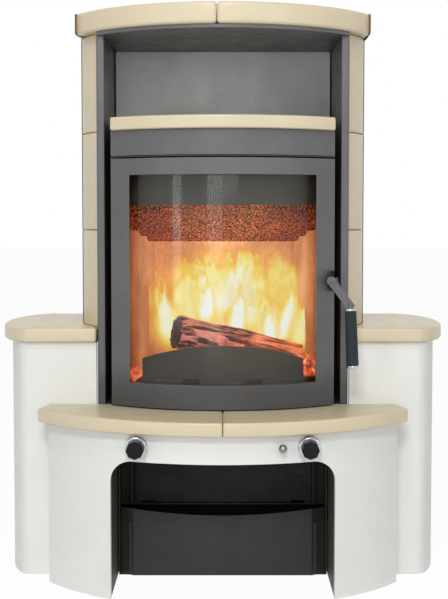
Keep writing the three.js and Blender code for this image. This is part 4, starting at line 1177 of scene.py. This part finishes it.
def flame_sheet(mesh, foot, height, width, lean, sway, heart, phase):
    """One tongue: a sheet bowed towards the window, narrow at foot and tip."""
    layers = [mesh.verts.layers.float[name] for name in FLAME_LAYERS]
    rows, columns = 40, 16
    grid = []
    for row in range(rows + 1):
        t = row / rows
        breadth = width * (0.55 + 0.45 * math.sin(math.pi * min(1.0, 1.1 * t + 0.1)))
        aside = lean * t**1.5 + sway * math.sin(5 * t + phase) * t
        middle = foot + Vector((aside, 0.01 * math.sin(4 * t + phase), height * t))
        line = []
        for column in range(columns + 1):
            u = 2 * column / columns - 1
            vertex = mesh.verts.new(middle + Vector((u * breadth, 0.2 * breadth * u * u, 0)))
            for layer, value in zip(layers, (u, t, heart)):
                vertex[layer] = value
            line.append(vertex)
        grid.append(line)
    for lower, upper in zip(grid, grid[1:]):
        for i in range(columns):
            mesh.faces.new((lower[i], lower[i + 1], upper[i + 1], upper[i]))


class STOVE_OT_flames(bpy.types.Operator):
    """Tongues of flame over the logs"""

    bl_idname = "stove.flames"
    bl_label = "Flames"

    def execute(self, context):
        low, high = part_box("log_large")
        middle = Vector((0, (low.y + high.y) / 2, 0))
        mesh = bmesh.new()
        for name in FLAME_LAYERS:
            mesh.verts.layers.float.new(name)
        for index, (*lengths, heat) in enumerate(FLAMES):
            x, y, z, *shape = [length / 1000 for length in lengths]
            flame_sheet(mesh, middle + Vector((x, y, z)), *shape, heat, 1.7 * index)
        piece = new_piece("flames", mesh, "flame", smooth=False)
        piece.data.shade_smooth()
        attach(piece, "root")
        return {"FINISHED"}


# name, place, width, height, watts
LAMPS = [
    ("front_softbox", (0.0, -5.0, 1.3), 2.0, 0.8, 9),
    ("key_softbox", (-0.3, -4.3, 3.4), 1.2, 0.6, 76),
    ("top_softbox", (-0.2, -2.4, 4.2), 1.2, 0.8, 33),
    ("right_lamp", (2.4, -3.2, 1.6), 0.5, 0.9, 10),
    ("left_strip", (-2.5, -3.7, 1.1), 0.5, 1.8, 10),
    ("front_strip", (-0.5, -5.0, 0.7), 1.0, 1.6, 9),
]
LAMPS_AIM = Vector((0, 0, 0.6))
FLOOR_REACH = 30.0
FLOOR_WHITE = 0.95  # share of the floor's colour that is white to the camera
WORLD_LIGHT = 0.37  # how strongly the white surroundings light the stove


class STOVE_OT_stage(bpy.types.Operator):
    """Pale floor, soft lamps, white surroundings and the camera"""

    bl_idname = "stove.stage"
    bl_label = "Stage"

    def execute(self, context):
        scene = context.scene
        scene.view_settings.view_transform = "Standard"
        make_camera(scene)
        make_floor()
        make_world(scene)
        for lamp in LAMPS:
            make_lamp(*lamp)
        return {"FINISHED"}


def make_camera(scene):
    settings = scene.stove_stage
    data = bpy.data.cameras.new("camera")
    data.lens = settings.lens
    data.sensor_width = 36
    data.clip_end = 50
    camera = bpy.data.objects.new("camera", data)
    camera.location = (settings.offset, CAD_BOX[1].y - settings.distance, settings.height)
    camera.rotation_euler = (math.pi / 2 - settings.pitch, 0, 0)
    scene.collection.objects.link(camera)
    scene.camera = camera


def make_lamp(name, place, width, height, power):
    """A rectangular softbox aimed at the middle of the stove."""
    data = bpy.data.lights.new(name, "AREA")
    data.shape = "RECTANGLE"
    data.size = width
    data.size_y = height
    data.energy = power
    lamp = bpy.data.objects.new(name, data)
    lamp.location = place
    aim = LAMPS_AIM - Vector(place)
    lamp.rotation_euler = aim.to_track_quat("-Z", "Y").to_euler()
    bpy.context.scene.collection.objects.link(lamp)


def seen_directly(tree):
    """1 for what the camera sees, also in reflections and through glass."""
    rays = tree.nodes.new("ShaderNodeLightPath").outputs
    seen = calculate(tree, "MAXIMUM", rays["Is Camera Ray"], rays["Is Transmission Ray"])
    return calculate(tree, "MAXIMUM", seen, rays["Is Glossy Ray"])


def make_floor():
    mesh = bmesh.new()
    bmesh.ops.create_grid(mesh, x_segments=1, y_segments=1, size=FLOOR_REACH)
    tree = open_material("pale_floor")
    base = mottled(tree, toned(WHITE, 0.9), toned(WHITE, 0.86), 1.0, 0.5)
    finish_material(tree, {"Base Color": base, "Roughness": 0.9})
    shader = tree.nodes["Principled BSDF"].outputs[0]
    white = add_node(tree, "ShaderNodeEmission", {"Color": WHITE, "Strength": 1.0}).outputs[0]
    seen = multiply(tree, seen_directly(tree), FLOOR_WHITE)
    mixed = add_node(tree, "ShaderNodeMixShader", {0: seen, 1: shader, 2: white}).outputs[0]
    tree.links.new(mixed, tree.nodes["Material Output"].inputs["Surface"])
    new_piece("floor", mesh, "pale_floor", smooth=False)


def make_world(scene):
    """White to the camera, in reflections and through glass; softer as a light."""
    world = bpy.data.worlds.new("studio")
    world.use_nodes = True
    tree = world.node_tree
    seen = multiply(tree, seen_directly(tree), 1 - WORLD_LIGHT)
    inputs = {"Color": WHITE, "Strength": add(tree, seen, WORLD_LIGHT)}
    set_inputs(tree, tree.nodes["Background"], inputs)
    scene.world = world


class STOVE_PT_panel(bpy.types.Panel):
    """Lists the pieces of the stove"""

    bl_idname = "STOVE_PT_panel"
    bl_label = "Tiled Stove"
    bl_space_type = "VIEW_3D"
    bl_region_type = "UI"
    bl_category = "Tiled Stove"

    def draw(self, context):
        for operator in OPERATORS:
            self.layout.operator(operator.bl_idname)


SETTINGS = {
    "stove_glaze": GlazeSettings,
    "stove_casing": CasingSettings,
    "stove_window": WindowSettings,
    "stove_handle": HandleSettings,
    "stove_fire": FireSettings,
    "stove_stage": StageSettings,
}
OPERATORS = [
    STOVE_OT_stage,
    STOVE_OT_glazed_ceramic,
    STOVE_OT_painted_panels,
    STOVE_OT_grey_casing,
    STOVE_OT_dark_sheets,
    STOVE_OT_window,
    STOVE_OT_handle,
    STOVE_OT_controls,
    STOVE_OT_fire_space,
    STOVE_OT_logs,
    STOVE_OT_embers,
    STOVE_OT_flames,
]


def register():
    for name, settings in SETTINGS.items():
        bpy.utils.register_class(settings)
        setattr(bpy.types.Scene, name, PointerProperty(type=settings))
    for operator in OPERATORS:
        bpy.utils.register_class(operator)
    bpy.utils.register_class(STOVE_PT_panel)


def unregister():
    bpy.utils.unregister_class(STOVE_PT_panel)
    for operator in reversed(OPERATORS):
        bpy.utils.unregister_class(operator)
    for name, settings in SETTINGS.items():
        delattr(bpy.types.Scene, name)
        bpy.utils.unregister_class(settings)


def main():
    register()
    build_groups()
    build_materials()
    for operator in OPERATORS:
        namespace, name = operator.bl_idname.split(".")
        getattr(getattr(bpy.ops, namespace), name)()


if __name__ == "__main__":
    main()
